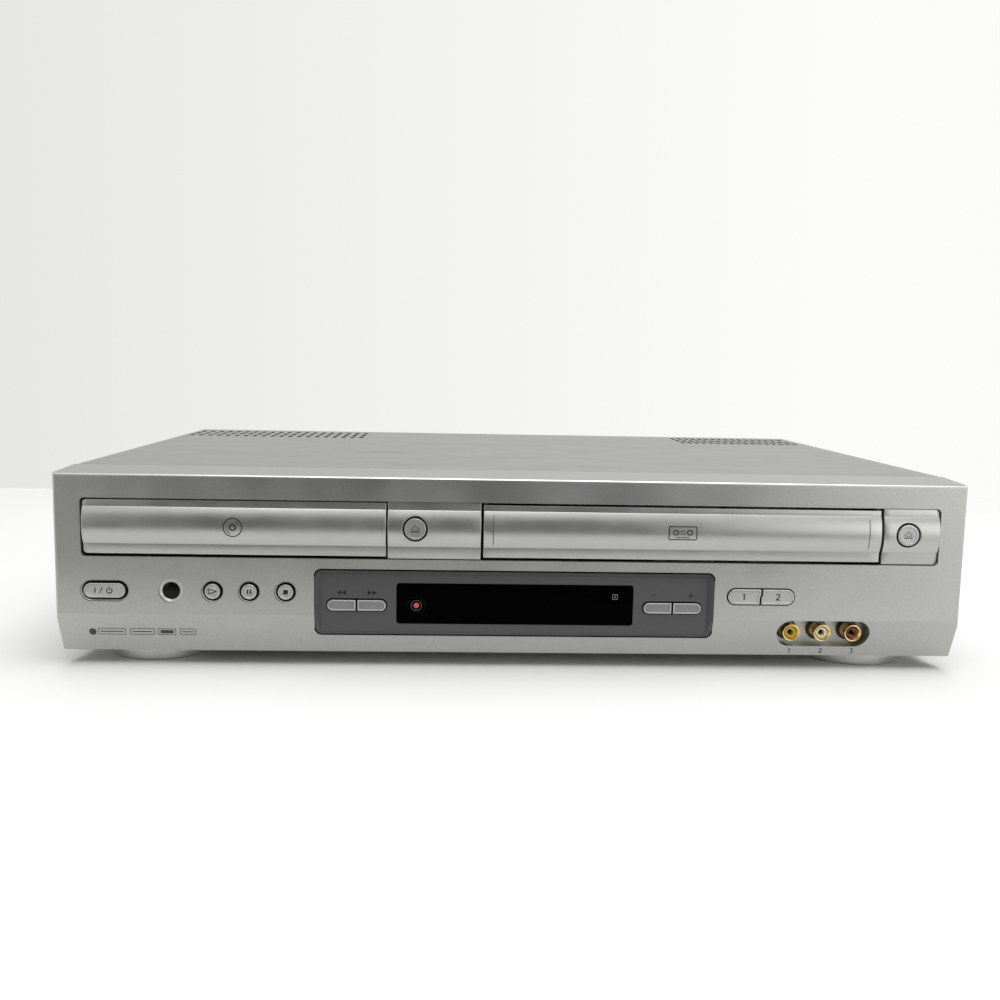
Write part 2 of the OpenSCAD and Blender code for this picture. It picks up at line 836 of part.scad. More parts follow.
module base_chassis() {
    color("silver") place() difference() {
        union() {
            difference() {
                slab(-base_w / 2, base_w / 2, cover_y, rear_y, base_z, base_z + flange_h);
                slab(-base_w / 2 + base_t, base_w / 2 - base_t, cover_y - cut, rear_y - base_t,
                    floor_z, base_z + flange_h + cut);
            }
            pads_under(main_board_x - main_board_w / 2, main_board_w, main_board_y, main_board_l,
                main_board_z);
            pads_under(power_x0, power_board_w, power_board_y, power_board_l, power_board_z);
        }
        for (y = screw_y) rod_along_x(y, screw_z, -case_w, case_w, screw_hole_r);
        for (x = screw_x) rod_along_y(x, screw_z, rear_y - 2 * base_t, case_d, screw_hole_r);
    }
}

module rear_panel() {
    color("silver") place() difference() {
        slab(-inner_w / 2 + seam, inner_w / 2 - seam, rear_y, case_d, base_z, case_h - sheet_t - seam);
        for (x = screw_x) rod_along_y(x, screw_z, rear_y - cut, case_d + cut, screw_hole_r);
        for (i = [-1:1], j = [0:1])
            rod_along_y(rear_sockets_x + i * socket_pitch, rear_sockets_z + j * rear_row, rear_y - cut,
                case_d + cut, rear_shell_r + shell_gap);
        slab(inlet_x - inlet_w / 2 - shell_gap, inlet_x + inlet_w / 2 + shell_gap, rear_y - cut, case_d + cut,
            inlet_z - inlet_h / 2 - shell_gap, inlet_z + inlet_h / 2 + shell_gap);
        for (i = [-1, 1])
            rod_along_y(tuner_x + i * tuner_w / 4, tuner_z + tuner_h / 2, rear_y - cut, case_d + cut,
                aerial_r + shell_gap);
    }
}

module front_feet() {
    color("gainsboro") place() for (side = [-1, 1]) {
        post(side * foot_x, foot_y, 0, foot_gap - seam, foot_r);
        post(side * foot_x, foot_y, foot_gap / 2, base_z, foot_neck_r);
    }
}

module rear_feet() {
    color("dimgray") place()
        for (side = [-1, 1]) post(side * foot_x, case_d - rear_foot_in, 0, base_z, rear_foot_r);
}

// Screw with a flat head that points along the depth, its head outwards.
module screw_along_y(x, z, y_face) {
    rod_along_y(x, z, y_face - screw_l, y_face + 0.5, screw_r);
    rod_along_y(x, z, y_face, y_face + screw_head_h, screw_head_r);
}

module cover_screws() {
    color("gray") place() {
        for (side = [-1, 1], y = screw_y) {
            face = side * cover_w / 2;
            rod_along_x(y, screw_z, min(face - side * screw_l, face + side * 0.5),
                max(face - side * screw_l, face + side * 0.5), screw_r);
            rod_along_x(y, screw_z, min(face, face + side * screw_head_h),
                max(face, face + side * screw_head_h), screw_head_r);
        }
        for (x = screw_x) screw_along_y(x, screw_z, case_d);
    }
}

// Side view of the pieces in the band: a flat strip with a round bulge, from z0 to z1 and back to y_back.
module band_side(z0, z1, y_back) {
    translate([strip_in, z0]) square([y_back - strip_in, z1 - z0]);
    intersection() {
        translate([strip_in - bulge_out + bulge_r, (bulge_z0 + bulge_z1) / 2]) circle(r = bulge_r, $fn = 180);
        translate([-bulge_out, bulge_z0]) square([bulge_out + lid_back - cut, bulge_h]);
    }
}

// Fixed panel of the band with the hole for its round button.
module eject_panel(x0, x1, button_x) {
    difference() {
        bar_x(x0, x1) band_side(band_z0 + seam, band_z1 - seam, ledge_y);
        rod_along_y(button_x, eject_z, -bulge_out - cut, ledge_y + cut, eject_cap_r + cap_gap + 0.2);
    }
}

module disc_eject_panel() {
    color([0.72, 0.73, 0.72]) place() eject_panel(disc_panel_x0, disc_panel_x1, disc_eject_x);
}

module tape_eject_panel() {
    color([0.72, 0.73, 0.72]) place() intersection() {
        eject_panel(tape_panel_x0, tape_panel_x1, tape_eject_x);
        plate_y(-bulge_out - cut, ledge_y + cut)
            rounded_rect(tape_panel_x0 - 4 * band_r, tape_panel_x1, band_z0 + seam, band_z1 - seam, band_r);
    }
}

module tray_front() {
    color([0.72, 0.73, 0.72]) place() intersection() {
        bar_x(tray_x0, tray_x1) band_side(band_z0 + sill_gap, band_z1 - lid_gap, lid_back);
        plate_y(-bulge_out - cut, lid_back + cut)
            rounded_rect(tray_x0, tray_x1 + 4 * band_r, band_z0 + sill_gap, band_z1 - lid_gap, band_r);
    }
}

// Rack tooth row: straight-sided teeth that point towards the pinion.
module rack_outline() {
    top = gear_module - gear_slack / 2;
    root = 1.25 * gear_module;
    half = tooth_pitch / 4 - gear_slack / 2;
    slope = tan(pressure);
    y0 = tray_y0 + rack_in;
    y1 = pinion_y + tray_travel + 3 * tooth_pitch;
    first = ceil((y0 + half - pinion_y) / tooth_pitch);
    last = floor((y1 - half - pinion_y) / tooth_pitch) - 1;
    translate([rack_x + root, y0]) square([rack_bar, y1 - y0]);
    for (i = [first:last]) translate([rack_x, pinion_y + (i + 0.5) * tooth_pitch])
        polygon([
            [-top, -half + top * slope],
            [root + 0.5, -half - root * slope],
            [root + 0.5, half + root * slope],
            [-top, half - top * slope]
        ]);
}

module disc_tray() {
    color("dimgray") place() {
        difference() {
            slab(tray_cx - tray_w / 2, tray_cx + tray_w / 2, tray_y0, tray_y0 + tray_l, tray_z, tray_top);
            post(tray_cx, disc_y, tray_top - disc_deep, tray_top + cut, disc_d / 2);
            post(tray_cx, disc_y, tray_top - pocket_deep, tray_top + cut, disc_d / 3);
            post(tray_cx, disc_y, tray_z - cut, tray_top + cut, hub_slot_r);
            slab(tray_cx - hub_slot_r, tray_cx + hub_slot_r, disc_y, tray_y0 + tray_l + cut, tray_z - cut,
                tray_top + cut);
            slab(groove_x0, rack_x + 2 * gear_module, tray_y0 + rack_in, tray_y0 + tray_l + cut,
                tray_z - cut, groove_z);
        }
        translate([0, 0, rack_z]) linear_extrude(height = groove_z - rack_z + seam) rack_outline();
    }
}

// Turns a point about the origin by an angle.
function turned(p, a) = [p[0] * cos(a) - p[1] * sin(a), p[0] * sin(a) + p[1] * cos(a)];

// Point of the involute of a base circle, t degrees along it.
function involute(base, t) =
    [base * (cos(t) + t * PI / 180 * sin(t)), base * (sin(t) - t * PI / 180 * cos(t))];

// Outline of one side of a gear tooth, from the base circle to the tip.
function tooth_side(base, tip, steps) =
    let (t_end = sqrt(pow(tip / base, 2) - 1) * 180 / PI)
    [for (i = [0:steps]) involute(base, t_end * i / steps)];

module pinion_outline() {
    base = pinion_r * cos(pressure);
    tip = pinion_r + gear_module - gear_slack / 2;
    root = pinion_r - 1.25 * gear_module;
    roll = tan(pressure) * 180 / PI - pressure;
    half = 90 / pinion_teeth - gear_slack / 2 / pinion_r * 180 / PI + roll;
    upper = [for (p = tooth_side(base, tip, 5)) turned(p, -half)];
    lower = [for (i = [len(upper) - 1:-1:0]) [upper[i][0], -upper[i][1]]];
    circle(r = root);
    for (i = [0:pinion_teeth - 1]) rotate(i * 360 / pinion_teeth)
        polygon(concat([[root - 1, upper[0][1]]], upper, lower, [[root - 1, -upper[0][1]]]));
}

module tray_pinion() {
    color("white") place() difference() {
        translate([pinion_x, pinion_y, rack_z + groove_gap])
            linear_extrude(height = groove_z - rack_z - 2 * groove_gap) pinion_outline();
        post(pinion_x, pinion_y, rack_z - cut, groove_z + cut, stud_r + bearing_gap);
    }
}

module cassette_door() {
    pin_x0 = door_x0 - door_gap / 2 - hinge_pin_l;
    pin_x1 = door_x1 + door_gap / 2 + hinge_pin_l;
    color([0.72, 0.73, 0.72]) place() {
        difference() {
            bar_x(door_x0, door_x1) band_side(band_z0 + sill_gap, band_z1 - sill_gap, lid_back);
            for (x = [door_x0 + 4.6, door_x1 - 5.9])
                slab(x - 0.25, x + 0.25, -bulge_out - cut, strip_in - bulge_out + 0.6, bulge_z0 + 1.8,
                    bulge_z1 - 1.8);
        }
        for (x = [door_x0, door_x1 - knuckle_l]) {
            rod_along_x(hinge_y, hinge_z, x, x + knuckle_l, knuckle_r);
            slab(x, x + knuckle_l, wall + 0.5, hinge_y + 0.4, band_z1 - 3 * sill_gap, hinge_z);
        }
        rod_along_x(hinge_y, hinge_z, pin_x0, door_x0 + knuckle_l / 2, hinge_pin_r);
        rod_along_x(hinge_y, hinge_z, door_x1 - knuckle_l / 2, pin_x1, hinge_pin_r);
    }
}

module display_panel() {
    z1 = display_z1;
    z0 = display_z0;
    z_low = z0 + plate_rim;
    color([0.3, 0.31, 0.32]) place() difference() {
        intersection() {
            fascia_block();
            plate_y(-cut, plate_back) rounded_rect(-display_x, display_x, z0, z1, display_r);
        }
        intersection() {
            bar_x(-case_w / 2, case_w / 2) polygon([
                [-cut, z_low],
                [display_in, z_low],
                [display_in, z1 - bevel_w],
                [0, z1 - seam],
                [-cut, z1 - seam]
            ]);
            linear_extrude(height = case_h) polygon([
                [-display_x + seam, -cut],
                [-display_x + seam, 0],
                [-display_x + bevel_w, display_in],
                [display_x - bevel_w, display_in],
                [display_x - seam, 0],
                [display_x - seam, -cut]
            ]);
        }
        plate_y(0, board_y) rounded_rect(-window_w / 2 - seam / 2, window_w / 2 + seam / 2,
            window_z0 - seam / 2, window_z1 + seam / 2, window_r);
        for (side = [-1, 1])
            plate_y(0, board_y) pill(side * pair_x, pair_z, pair_w + 2 * cap_gap, pair_h + 2 * cap_gap);
    }
}

module display_window() {
    color("black") place() difference() {
        plate_y(display_in - window_proud, plate_back)
            rounded_rect(-window_w / 2, window_w / 2, window_z0, window_z1, window_r);
        rod_along_y(record_x, record_z, 0, board_y, record_r + cap_gap);
    }
}

// Stem of a button, from its cap to just before its switch.
module stem(x, z, y0) {
    rod_along_y(x, z, y0, stem_end, stem_r);
}

// Round button: cap, flange behind the wall it passes through, and stem.
module round_button(x, z, r, y_front, y_wall) {
    rod_along_y(x, z, y_front, y_wall + seam + flange_t, r);
    rod_along_y(x, z, y_wall + seam, y_wall + seam + flange_t, r + flange_out);
    stem(x, z, y_wall + seam);
}

// Left (side -1) or right (side 1) half of a pill, up to the gap in its middle.
module half_pill(x, z, w, h, side) {
    intersection() {
        pill(x, z, w, h);
        translate([side > 0 ? x + pair_gap / 2 : x - w, z - h]) square([w - pair_gap / 2, 2 * h]);
    }
}

// One button of a pair that shares a pill-shaped opening.
module pair_button(x, z, w, h, side, y_front, y_wall) {
    plate_y(y_front, y_wall + seam + flange_t) half_pill(x, z, w, h, side);
    plate_y(y_wall + seam, y_wall + seam + flange_t)
        half_pill(x, z, w + 2 * flange_out, h + 2 * flange_out, side);
    stem(x + side * w / 4, z, y_wall + seam);
}

module power_button() {
    color("silver") place() {
        plate_y(-row_proud, wall + seam + flange_t) pill(power_x, row_z, power_w, power_h);
        plate_y(wall + seam, wall + seam + flange_t)
            pill(power_x, row_z, power_w + 2 * flange_out, power_h + 2 * flange_out);
        stem(power_x, row_z, wall + seam);
    }
}

module play_button() {
    color("silver") place() round_button(play_x, row_z, small_cap_r, -row_proud, wall);
}

module pause_button() {
    color("silver") place() round_button(play_x + row_pitch, row_z, small_cap_r, -row_proud, wall);
}

module stop_button() {
    color("silver") place() round_button(play_x + 2 * row_pitch, row_z, small_cap_r, -row_proud, wall);
}

module rewind_button() {
    color("silver") place()
        pair_button(-pair_x, pair_z, pair_w, pair_h, -1, display_in - pair_proud, plate_back);
}

module forward_button() {
    color("silver") place()
        pair_button(-pair_x, pair_z, pair_w, pair_h, 1, display_in - pair_proud, plate_back);
}

module channel_down_button() {
    color("silver") place()
        pair_button(pair_x, pair_z, pair_w, pair_h, -1, display_in - pair_proud, plate_back);
}

module channel_up_button() {
    color("silver") place()
        pair_button(pair_x, pair_z, pair_w, pair_h, 1, display_in - pair_proud, plate_back);
}

module record_button() {
    color("black") place() round_button(record_x, record_z, record_r, display_in - record_proud, plate_back);
}

module select_disc_button() {
    color("silver") place() pair_button(select_x, row_z, select_w, select_h, -1, -row_proud, wall);
}

module select_tape_button() {
    color("silver") place() pair_button(select_x, row_z, select_w, select_h, 1, -row_proud, wall);
}

module disc_eject_button() {
    color("silver") place() round_button(disc_eject_x, eject_z, eject_cap_r, -front_reach, ledge_y + ledge_t);
}

module tape_eject_button() {
    color("silver") place() round_button(tape_eject_x, eject_z, eject_cap_r, -front_reach, ledge_y + ledge_t);
}

module remote_lens() {
    color([0.12, 0.12, 0.12]) place() {
        rod_along_y(lens_x, row_z, rim_depth, wall + flange_t, lens_r);
        rod_along_y(lens_x, row_z, wall, board_y, lens_r + flange_out);
    }
}

module front_socket_block() {
    color([0.12, 0.12, 0.12]) place() difference() {
        slab(socket_x - recess_w / 2, socket_x + recess_w / 2, block_y, board_y, socket_z - recess_h / 2,
            socket_z + recess_h / 2);
        for (i = [-1:1])
            rod_along_y(socket_x + i * socket_pitch, socket_z, block_y - cut, board_y - rear_block_back,
                shell_r + shell_gap);
    }
}

// Metal shell of a socket along the depth, with its outer radius.
module shell(x, z, y0, y1, r) {
    difference() {
        rod_along_y(x, z, y0, y1, r);
        rod_along_y(x, z, y0 - cut, y1 + cut, shell_bore);
    }
}

module front_socket_shells() {
    color("gold") place() for (i = [-1:1])
        shell(socket_x + i * socket_pitch, socket_z, shell_front, shell_back, shell_r);
}

// Coloured insulating insert of a front socket and of the two rear sockets in the same column.
module inserts(column) {
    difference() {
        rod_along_y(socket_x + column * socket_pitch, socket_z, shell_front + insert_front, shell_back,
            shell_bore - shell_gap);
        rod_along_y(socket_x + column * socket_pitch, socket_z, 0, shell_back - insert_solid, pin_hole_r);
    }
    for (j = [0:1]) difference() {
        rod_along_y(rear_sockets_x - column * socket_pitch, rear_sockets_z + j * rear_row,
            rear_shell_y0, case_d + rear_reach - insert_front, shell_bore - shell_gap);
        rod_along_y(rear_sockets_x - column * socket_pitch, rear_sockets_z + j * rear_row,
            rear_shell_y0 + insert_solid, case_d + rear_reach + cut, pin_hole_r);
    }
}

module video_inserts() {
    color("gold") place() inserts(-1);
}

module left_inserts() {
    color("white") place() inserts(0);
}

module right_inserts() {
    color("firebrick") place() inserts(1);
}

module rear_socket_block() {
    half = 1.5 * socket_pitch;
    color([0.12, 0.12, 0.12]) place() difference() {
        slab(rear_sockets_x - half, rear_sockets_x + half, rear_y - rear_block_d, rear_y,
            rear_sockets_z - rear_block_rim, rear_sockets_z + rear_row + rear_block_rim);
        for (i = [-1:1], j = [0:1])
            rod_along_y(rear_sockets_x + i * socket_pitch, rear_sockets_z + j * rear_row,
                rear_shell_y0, rear_y + cut, rear_shell_r + shell_gap);
    }
}

module rear_socket_shells() {
    color("silver") place() for (i = [-1:1], j = [0:1]) {
        x = rear_sockets_x + i * socket_pitch;
        z = rear_sockets_z + j * rear_row;
        shell(x, z, case_d + seam, case_d + rear_reach, shell_r);
        shell(x, z, rear_shell_y0, case_d + seam + cut, rear_shell_r);
    }
}

// Two-pin mains inlet with a figure-eight hollow.
module mains_inlet() {
    color([0.12, 0.12, 0.12]) place() difference() {
        union() {
            slab(inlet_x - inlet_w / 2, inlet_x + inlet_w / 2, case_d - inlet_d, case_d,
                inlet_z - inlet_h / 2, inlet_z + inlet_h / 2);
            slab(inlet_x - inlet_w / 2 - inlet_flange, inlet_x + inlet_w / 2 + inlet_flange, case_d,
                case_d + inlet_flange,
                inlet_z - inlet_h / 2 - inlet_flange, inlet_z + inlet_h / 2 + inlet_flange);
        }
        plate_y(case_d - inlet_d + inlet_floor, case_d + inlet_flange + cut)
            pill(inlet_x, inlet_z, 4 * inlet_pin_r, 2 * inlet_pin_r);
    }
}

// Board behind the front, with a switch behind each button.
module control_board() {
    half = case_w / 2 - side_taper - wall - 2;
    places = [
        [power_x, row_z], [play_x, row_z], [play_x + row_pitch, row_z], [play_x + 2 * row_pitch, row_z],
        [-pair_x - pair_w / 4, pair_z], [-pair_x + pair_w / 4, pair_z], [record_x, record_z],
        [pair_x - pair_w / 4, pair_z], [pair_x + pair_w / 4, pair_z],
        [select_x - select_w / 4, row_z], [select_x + select_w / 4, row_z],
        [disc_eject_x, eject_z], [tape_eject_x, eject_z]
    ];
    color("darkolivegreen") place() {
        slab(-half, half, board_y, board_y + board_t, floor_z + 1, band_z0 - 3);
        for (x = [disc_eject_x, tape_eject_x])
            slab(x - 7, x + 7, board_y, board_y + board_t, floor_z + 2, eject_z + 7);
        for (p = places)
            slab(p[0] - switch_w / 2, p[0] + switch_w / 2, board_y - switch_d, board_y + board_t / 2,
                p[1] - switch_w / 2, p[1] + switch_w / 2);
    }
}

module main_board() {
    x0 = main_board_x - main_board_w / 2;
    color("darkgreen") place() {
        slab(x0, x0 + main_board_w, main_board_y, main_board_y + main_board_l, main_board_z,
            main_board_z + board_t);
        for (spot = [[0.3, 0.35, 24], [0.65, 0.3, 16], [0.5, 0.7, 20]]) {
            x = x0 + spot[0] * main_board_w;
            y = main_board_y + spot[1] * main_board_l;
            slab(x - spot[2] / 2, x + spot[2] / 2, y - spot[2] / 2, y + spot[2] / 2,
                main_board_z + board_t / 2, main_board_z + board_t + chip_h);
        }
    }
}

module power_board() {
    color("burlywood") place() {
        slab(power_x0, power_x0 + power_board_w, power_board_y, power_board_y + power_board_l,
            power_board_z, power_board_z + board_t);
        for (spot = [[0.68, 0.3, 9], [0.86, 0.3, 6], [0.68, 0.72, 6], [0.84, 0.75, 5]])
            post(power_x0 + spot[0] * power_board_w, power_board_y + spot[1] * power_board_l,
                power_board_z + board_t / 2, power_board_z + board_t + capacitor_h, spot[2]);
        slab(power_x0 + power_board_w - sink_in - sink_t, power_x0 + power_board_w - sink_in,
            power_board_y + sink_in, power_board_y + power_board_l - sink_in, power_board_z + board_t / 2,
            power_board_z + board_t + sink_h);
    }
}

module transformer() {
    x = power_x0 + 0.34 * power_board_w;
    y0 = power_board_y + (power_board_l - core_l) / 2 - core_in;
    z = power_board_z + board_t;
    coil_top = z + core_t + coil_h;
    color("khaki") place() {
        slab(x - core_w / 2, x + core_w / 2, y0, y0 + core_l, z, z + core_t);
        slab(x - coil_w / 2, x + coil_w / 2, y0, y0 + core_l, z + core_t - cut, coil_top);
        slab(x - core_w / 2, x + core_w / 2, y0, y0 + core_l, coil_top - cut, coil_top + yoke_t - cut);
    }
}

module tuner_module() {
    color("lightgray") place() {
        slab(tuner_x - tuner_w / 2, tuner_x + tuner_w / 2, rear_y - tuner_d, rear_y, tuner_z,
            tuner_z + tuner_h);
        for (i = [-1, 1]) difference() {
            rod_along_y(tuner_x + i * tuner_w / 4, tuner_z + tuner_h / 2, rear_y - cut,
                case_d + rear_reach, aerial_r);
            rod_along_y(tuner_x + i * tuner_w / 4, tuner_z + tuner_h / 2, case_d + aerial_t,
                case_d + rear_reach + cut, aerial_r - aerial_t);
        }
    }
}

// Channel at one side of the tray: wall, lower runner and upper lip.
module tray_rail(side) {
    inner = tray_w / 2 + slide_gap;
    lip = tray_w / 2 - rail_lip;
    x = tray_cx;
    outline = [
        [inner, loader_z],
        [loader_x, loader_z],
        [loader_x, rail_top],
        [lip, rail_top],
        [lip, tray_top + slide_gap],
        [inner, tray_top + slide_gap],
        [inner, tray_z - slide_gap],
        [lip, tray_z - slide_gap],
        [lip, tray_z - slide_gap - rail_t],
        [inner, tray_z - slide_gap - rail_t]
    ];
    plate_y(rail_y0, rail_y1) polygon([for (p = outline) [x + side * p[0], p[1]]]);
}

module loader_frame() {
    color("gray") place() {
        for (side = [-1, 1]) tray_rail(side);
        difference() {
            union() {
                slab(tray_cx - loader_x, tray_cx + loader_x, rail_y0, rail_y1, loader_z, loader_z + loader_t);
                post(tray_cx, disc_y, loader_z, loader_z + loader_t + motor_h, motor_r);
                for (y = [rod_y0, rod_y1 - holder_t])
                    slab(tray_cx - rod_x - holder_rim, tray_cx + rod_x + holder_rim, y, y + holder_t,
                        loader_z + loader_t / 2, rod_z + rod_r + holder_rim / 2);
            }
            post(tray_cx, disc_y, loader_z - cut, loader_z + loader_t + motor_h + cut, rod_r + bearing_gap);
            for (side = [-1, 1])
                rod_along_y(tray_cx + side * rod_x, rod_z, rod_y0 - cut, rod_y1 + cut, rod_r + bearing_gap);
        }
        post(pinion_x, pinion_y, loader_z + loader_t / 2, groove_z - seam, stud_r);
        post(pinion_x, pinion_y, loader_z + loader_t / 2, rack_z + groove_gap - seam, stud_r + stud_foot);
        for (side = [-1, 1], y = [rail_y0 + leg_in, rail_y1 - leg_in])
            post(tray_cx + side * (loader_x - leg_in), y, floor_z, loader_z + loader_t / 2, leg_r);
    }
}

module guide_rods() {
    color("silver") place() for (side = [-1, 1])
        rod_along_y(tray_cx + side * rod_x, rod_z, rod_y0, rod_y1, rod_r);
}

module laser_sled() {
    color("darkslategray") place() difference() {
        union() {
            slab(tray_cx - sled_w / 2, tray_cx + sled_w / 2, sled_y, sled_y + sled_l, sled_z,
                sled_z + sled_h);
            post(tray_cx, objective_y, sled_z, objective_top, objective_rim_r);
        }
        for (side = [-1, 1])
            rod_along_y(tray_cx + side * rod_x, rod_z, sled_y - cut, sled_y + sled_l + cut,
                rod_r + bearing_gap);
        post(tray_cx, objective_y, objective_top - objective_deep, tray_top, objective_r);
    }
}

module turntable() {
    color("gainsboro") place() {
        post(tray_cx, disc_y, loader_z + 0.5, platter_z, rod_r);
        post(tray_cx, disc_y, platter_z - platter_t, platter_z, platter_r);
        translate([tray_cx, disc_y, platter_z - hub_h / 4])
            cylinder(h = hub_h, r1 = hub_r, r2 = hub_r - hub_h / 2);
    }
}

module clamp_bridge() {
    color("gray") place() difference() {
        slab(tray_cx - loader_x, tray_cx + loader_x, disc_y - bridge_w / 2, disc_y + bridge_w / 2,
            rail_top, rail_top + bridge_t);
        post(tray_cx, disc_y, rail_top - cut, rail_top + bridge_t + cut, puck_hole_r);
    }
}

module clamp_puck() {
    color("black") place() {
        post(tray_cx, disc_y, rail_top + bridge_t + seam, rail_top + bridge_t + 2, puck_r);
        post(tray_cx, disc_y, rail_top - 1, rail_top + bridge_t + 1, puck_neck_r);
        post(tray_cx, disc_y, tray_top + 0.5, rail_top - 0.5, puck_r);
    }
}

// Side wall of the tape deck with the slots that guide the carriage.
module deck_side(side) {
    x0 = side > 0 ? side_x : -side_x - side_t;
    difference() {
        slab(x0, x0 + side_t, deck_y0, side_y1, deck_top + seam, side_top);
        for (y = [carriage_y0 + pin_inset, carriage_y0 + carriage_l - pin_inset])
            bar_x(x0 - cut, x0 + side_t + cut) {
                translate([y, carriage_pin_z - pin_r - bearing_gap])
                    square([basket_in, 2 * (pin_r + bearing_gap)]);
                for (end = [0, basket_in]) translate([y + end, carriage_pin_z])
                    circle(r = pin_r + bearing_gap);
            }
    }
}

module deck_sides() {
    color("silver") place() translate([bay_cx, 0, 0]) for (side = [-1, 1]) deck_side(side);
}

module deck_frame() {
    color("silver") place() translate([bay_cx, 0, 0]) {
        difference() {
            union() {
                slab(-deck_w / 2, deck_w / 2, deck_y0, deck_y1, deck_z, deck_top);
                post(capstan_x, capstan_y, deck_z - bearing_drop, deck_top + bearing_rise, bearing_r);
            }
            post(capstan_x, capstan_y, deck_z - bearing_drop - cut, deck_top + bearing_rise + cut,
                capstan_r + bearing_gap);
        }
        for (side = [-1, 1]) {
            post(side * reel_x, reel_y, deck_z + deck_t / 2, reel_z + reel_stud_h, pin_r);
            post(side * reel_x, reel_y, deck_z + deck_t / 2, reel_z - seam, 2 * pin_r);
            post(side * arm_pivot_x, arm_pivot_y, deck_z + deck_t / 2, arm_z + arm_t + pin_out, pin_r);
            post(side * (arm_pivot_x + stop_l * cos(stop_turn)), arm_pivot_y + stop_l * sin(stop_turn),
                deck_z + deck_t / 2, arm_z + arm_t, stop_r);
        }
        post(pinch_x, pinch_y, deck_z + deck_t / 2, pinch_z + arm_t + pin_out, pin_r);
        post(pinch_x, pinch_y, deck_z + deck_t / 2, pinch_z - seam, 2 * pin_r);
        for (side = [-1, 1], y = [deck_y0 + 2 * leg_r, deck_y1 - 2 * leg_r])
            post(side * (deck_w / 2 - 2 * leg_r), y, floor_z, deck_z + deck_t / 2, leg_r);
    }
}

module lower_drum() {
    color("silver") place() difference() {
        union() {
            post(bay_cx, drum_y, deck_top, drum_z + 1, drum_boss_r);
            post(bay_cx, drum_y, drum_z, drum_z + lower_drum_h, drum_r);
        }
        post(bay_cx, drum_y, deck_top - cut, drum_z + lower_drum_h + cut, shaft_r + bearing_gap);
    }
}

module upper_drum() {
    z0 = drum_z + lower_drum_h + drum_split;
    color("gainsboro") place() {
        post(bay_cx, drum_y, deck_top + 1, z0 + 1, shaft_r);
        difference() {
            post(bay_cx, drum_y, z0, z0 + upper_drum_h, drum_r);
            post(bay_cx, drum_y, z0 + upper_drum_h - 4, z0 + upper_drum_h + cut, 0.6 * drum_r);
            for (a = [0:90:270]) translate([bay_cx, drum_y, 0]) rotate(a)
                slab(drum_r - 1.5, drum_r + cut, -1.2, 1.2, z0 - cut, z0 + 2);
        }
    }
}

// Reel table with its hub and three driving ribs, on a stud of the deck.
module reel(x) {
    translate([bay_cx + x, reel_y, 0]) difference() {
        union() {
            post(0, 0, reel_z, reel_z + reel_t, reel_r);
            post(0, 0, reel_z, reel_z + reel_t + reel_hub_h, reel_hub_r);
            for (a = [0:120:240]) rotate(a)
                slab(0, reel_hub_r + 1.4, -0.8, 0.8, reel_z + reel_t / 2, reel_z + reel_t + reel_hub_h - 3);
        }
        post(0, 0, reel_z - cut, reel_z + reel_stud_h + 0.5, pin_r + bearing_gap);
    }
}

module supply_reel() {
    color("white") place() reel(-reel_x);
}

module takeup_reel() {
    color("white") place() reel(reel_x);
}

module capstan() {
    color("dimgray") place() translate([bay_cx, 0, 0]) {
        post(capstan_x, capstan_y, flywheel_z, capstan_top, capstan_r);
        post(capstan_x, capstan_y, flywheel_z, flywheel_z + flywheel_t, flywheel_r);
    }
}

// Flat arm from a pivot, with a bore there and a round end.
module flat_arm(length, z, r) {
    difference() {
        union() {
            post(0, 0, z, z + arm_t, r);
            post(length, 0, z, z + arm_t, r);
            slab(0, length, -0.8 * r, 0.8 * r, z, z + arm_t);
        }
        post(0, 0, z - cut, z + arm_t + cut, pin_r + bearing_gap);
    }
}

module pinch_arm() {
    color("gray") place() translate([bay_cx + pinch_x, pinch_y, 0]) rotate(pinch_rest) {
        flat_arm(pinch_l, pinch_z, arm_r - 0.6);
        post(pinch_l, 0, pinch_z + arm_t / 2, roller_z + roller_h + 1, 1.5);
        post(pinch_l, 0, roller_z, roller_z + roller_h, pinch_r);
    }
}

// Loading arm with its upright tape post.
module loading_arm() {
    flat_arm(arm_l, arm_z, arm_r);
    post(arm_l, 0, arm_z + arm_t / 2, post_top, post_r);
}

module supply_arm() {
    color("goldenrod") place() translate([bay_cx - arm_pivot_x, arm_pivot_y, 0]) rotate(180 - arm_rest)
        loading_arm();
}

module takeup_arm() {
    color("goldenrod") place() translate([bay_cx + arm_pivot_x, arm_pivot_y, 0]) rotate(arm_rest)
        loading_arm();
}

module cassette_carriage() {
    outer = carriage_x + carriage_t;
    color("silver") place() translate([bay_cx, 0, 0]) {
        for (side = [-1, 1]) {
            x0 = side > 0 ? carriage_x : -outer;
            difference() {
                slab(x0, x0 + carriage_t, carriage_y0, carriage_y0 + carriage_l, carriage_z0,
                    carriage_bar_z + carriage_t);
                for (y = [carriage_y0 + pin_inset, carriage_y0 + carriage_l - pin_inset])
                    bar_x(x0 - cut, x0 + carriage_t + cut) {
                        translate([y - pin_r - bearing_gap, basket_pin_z - basket_down])
                            square([2 * (pin_r + bearing_gap), basket_down]);
                        for (end = [0, basket_down]) translate([y, basket_pin_z - end])
                            circle(r = pin_r + bearing_gap);
                    }
            }
            for (y = [carriage_y0 + pin_inset, carriage_y0 + carriage_l - pin_inset])
                rod_along_x(y, carriage_pin_z, side > 0 ? outer - carriage_t / 2 : -side_x - side_t,
                    side > 0 ? side_x + side_t : -outer + carriage_t / 2, pin_r);
        }
        slab(-outer, outer, carriage_y0 + bar_in, carriage_y0 + carriage_l - bar_in, carriage_bar_z,
            carriage_bar_z + carriage_t);
    }
}

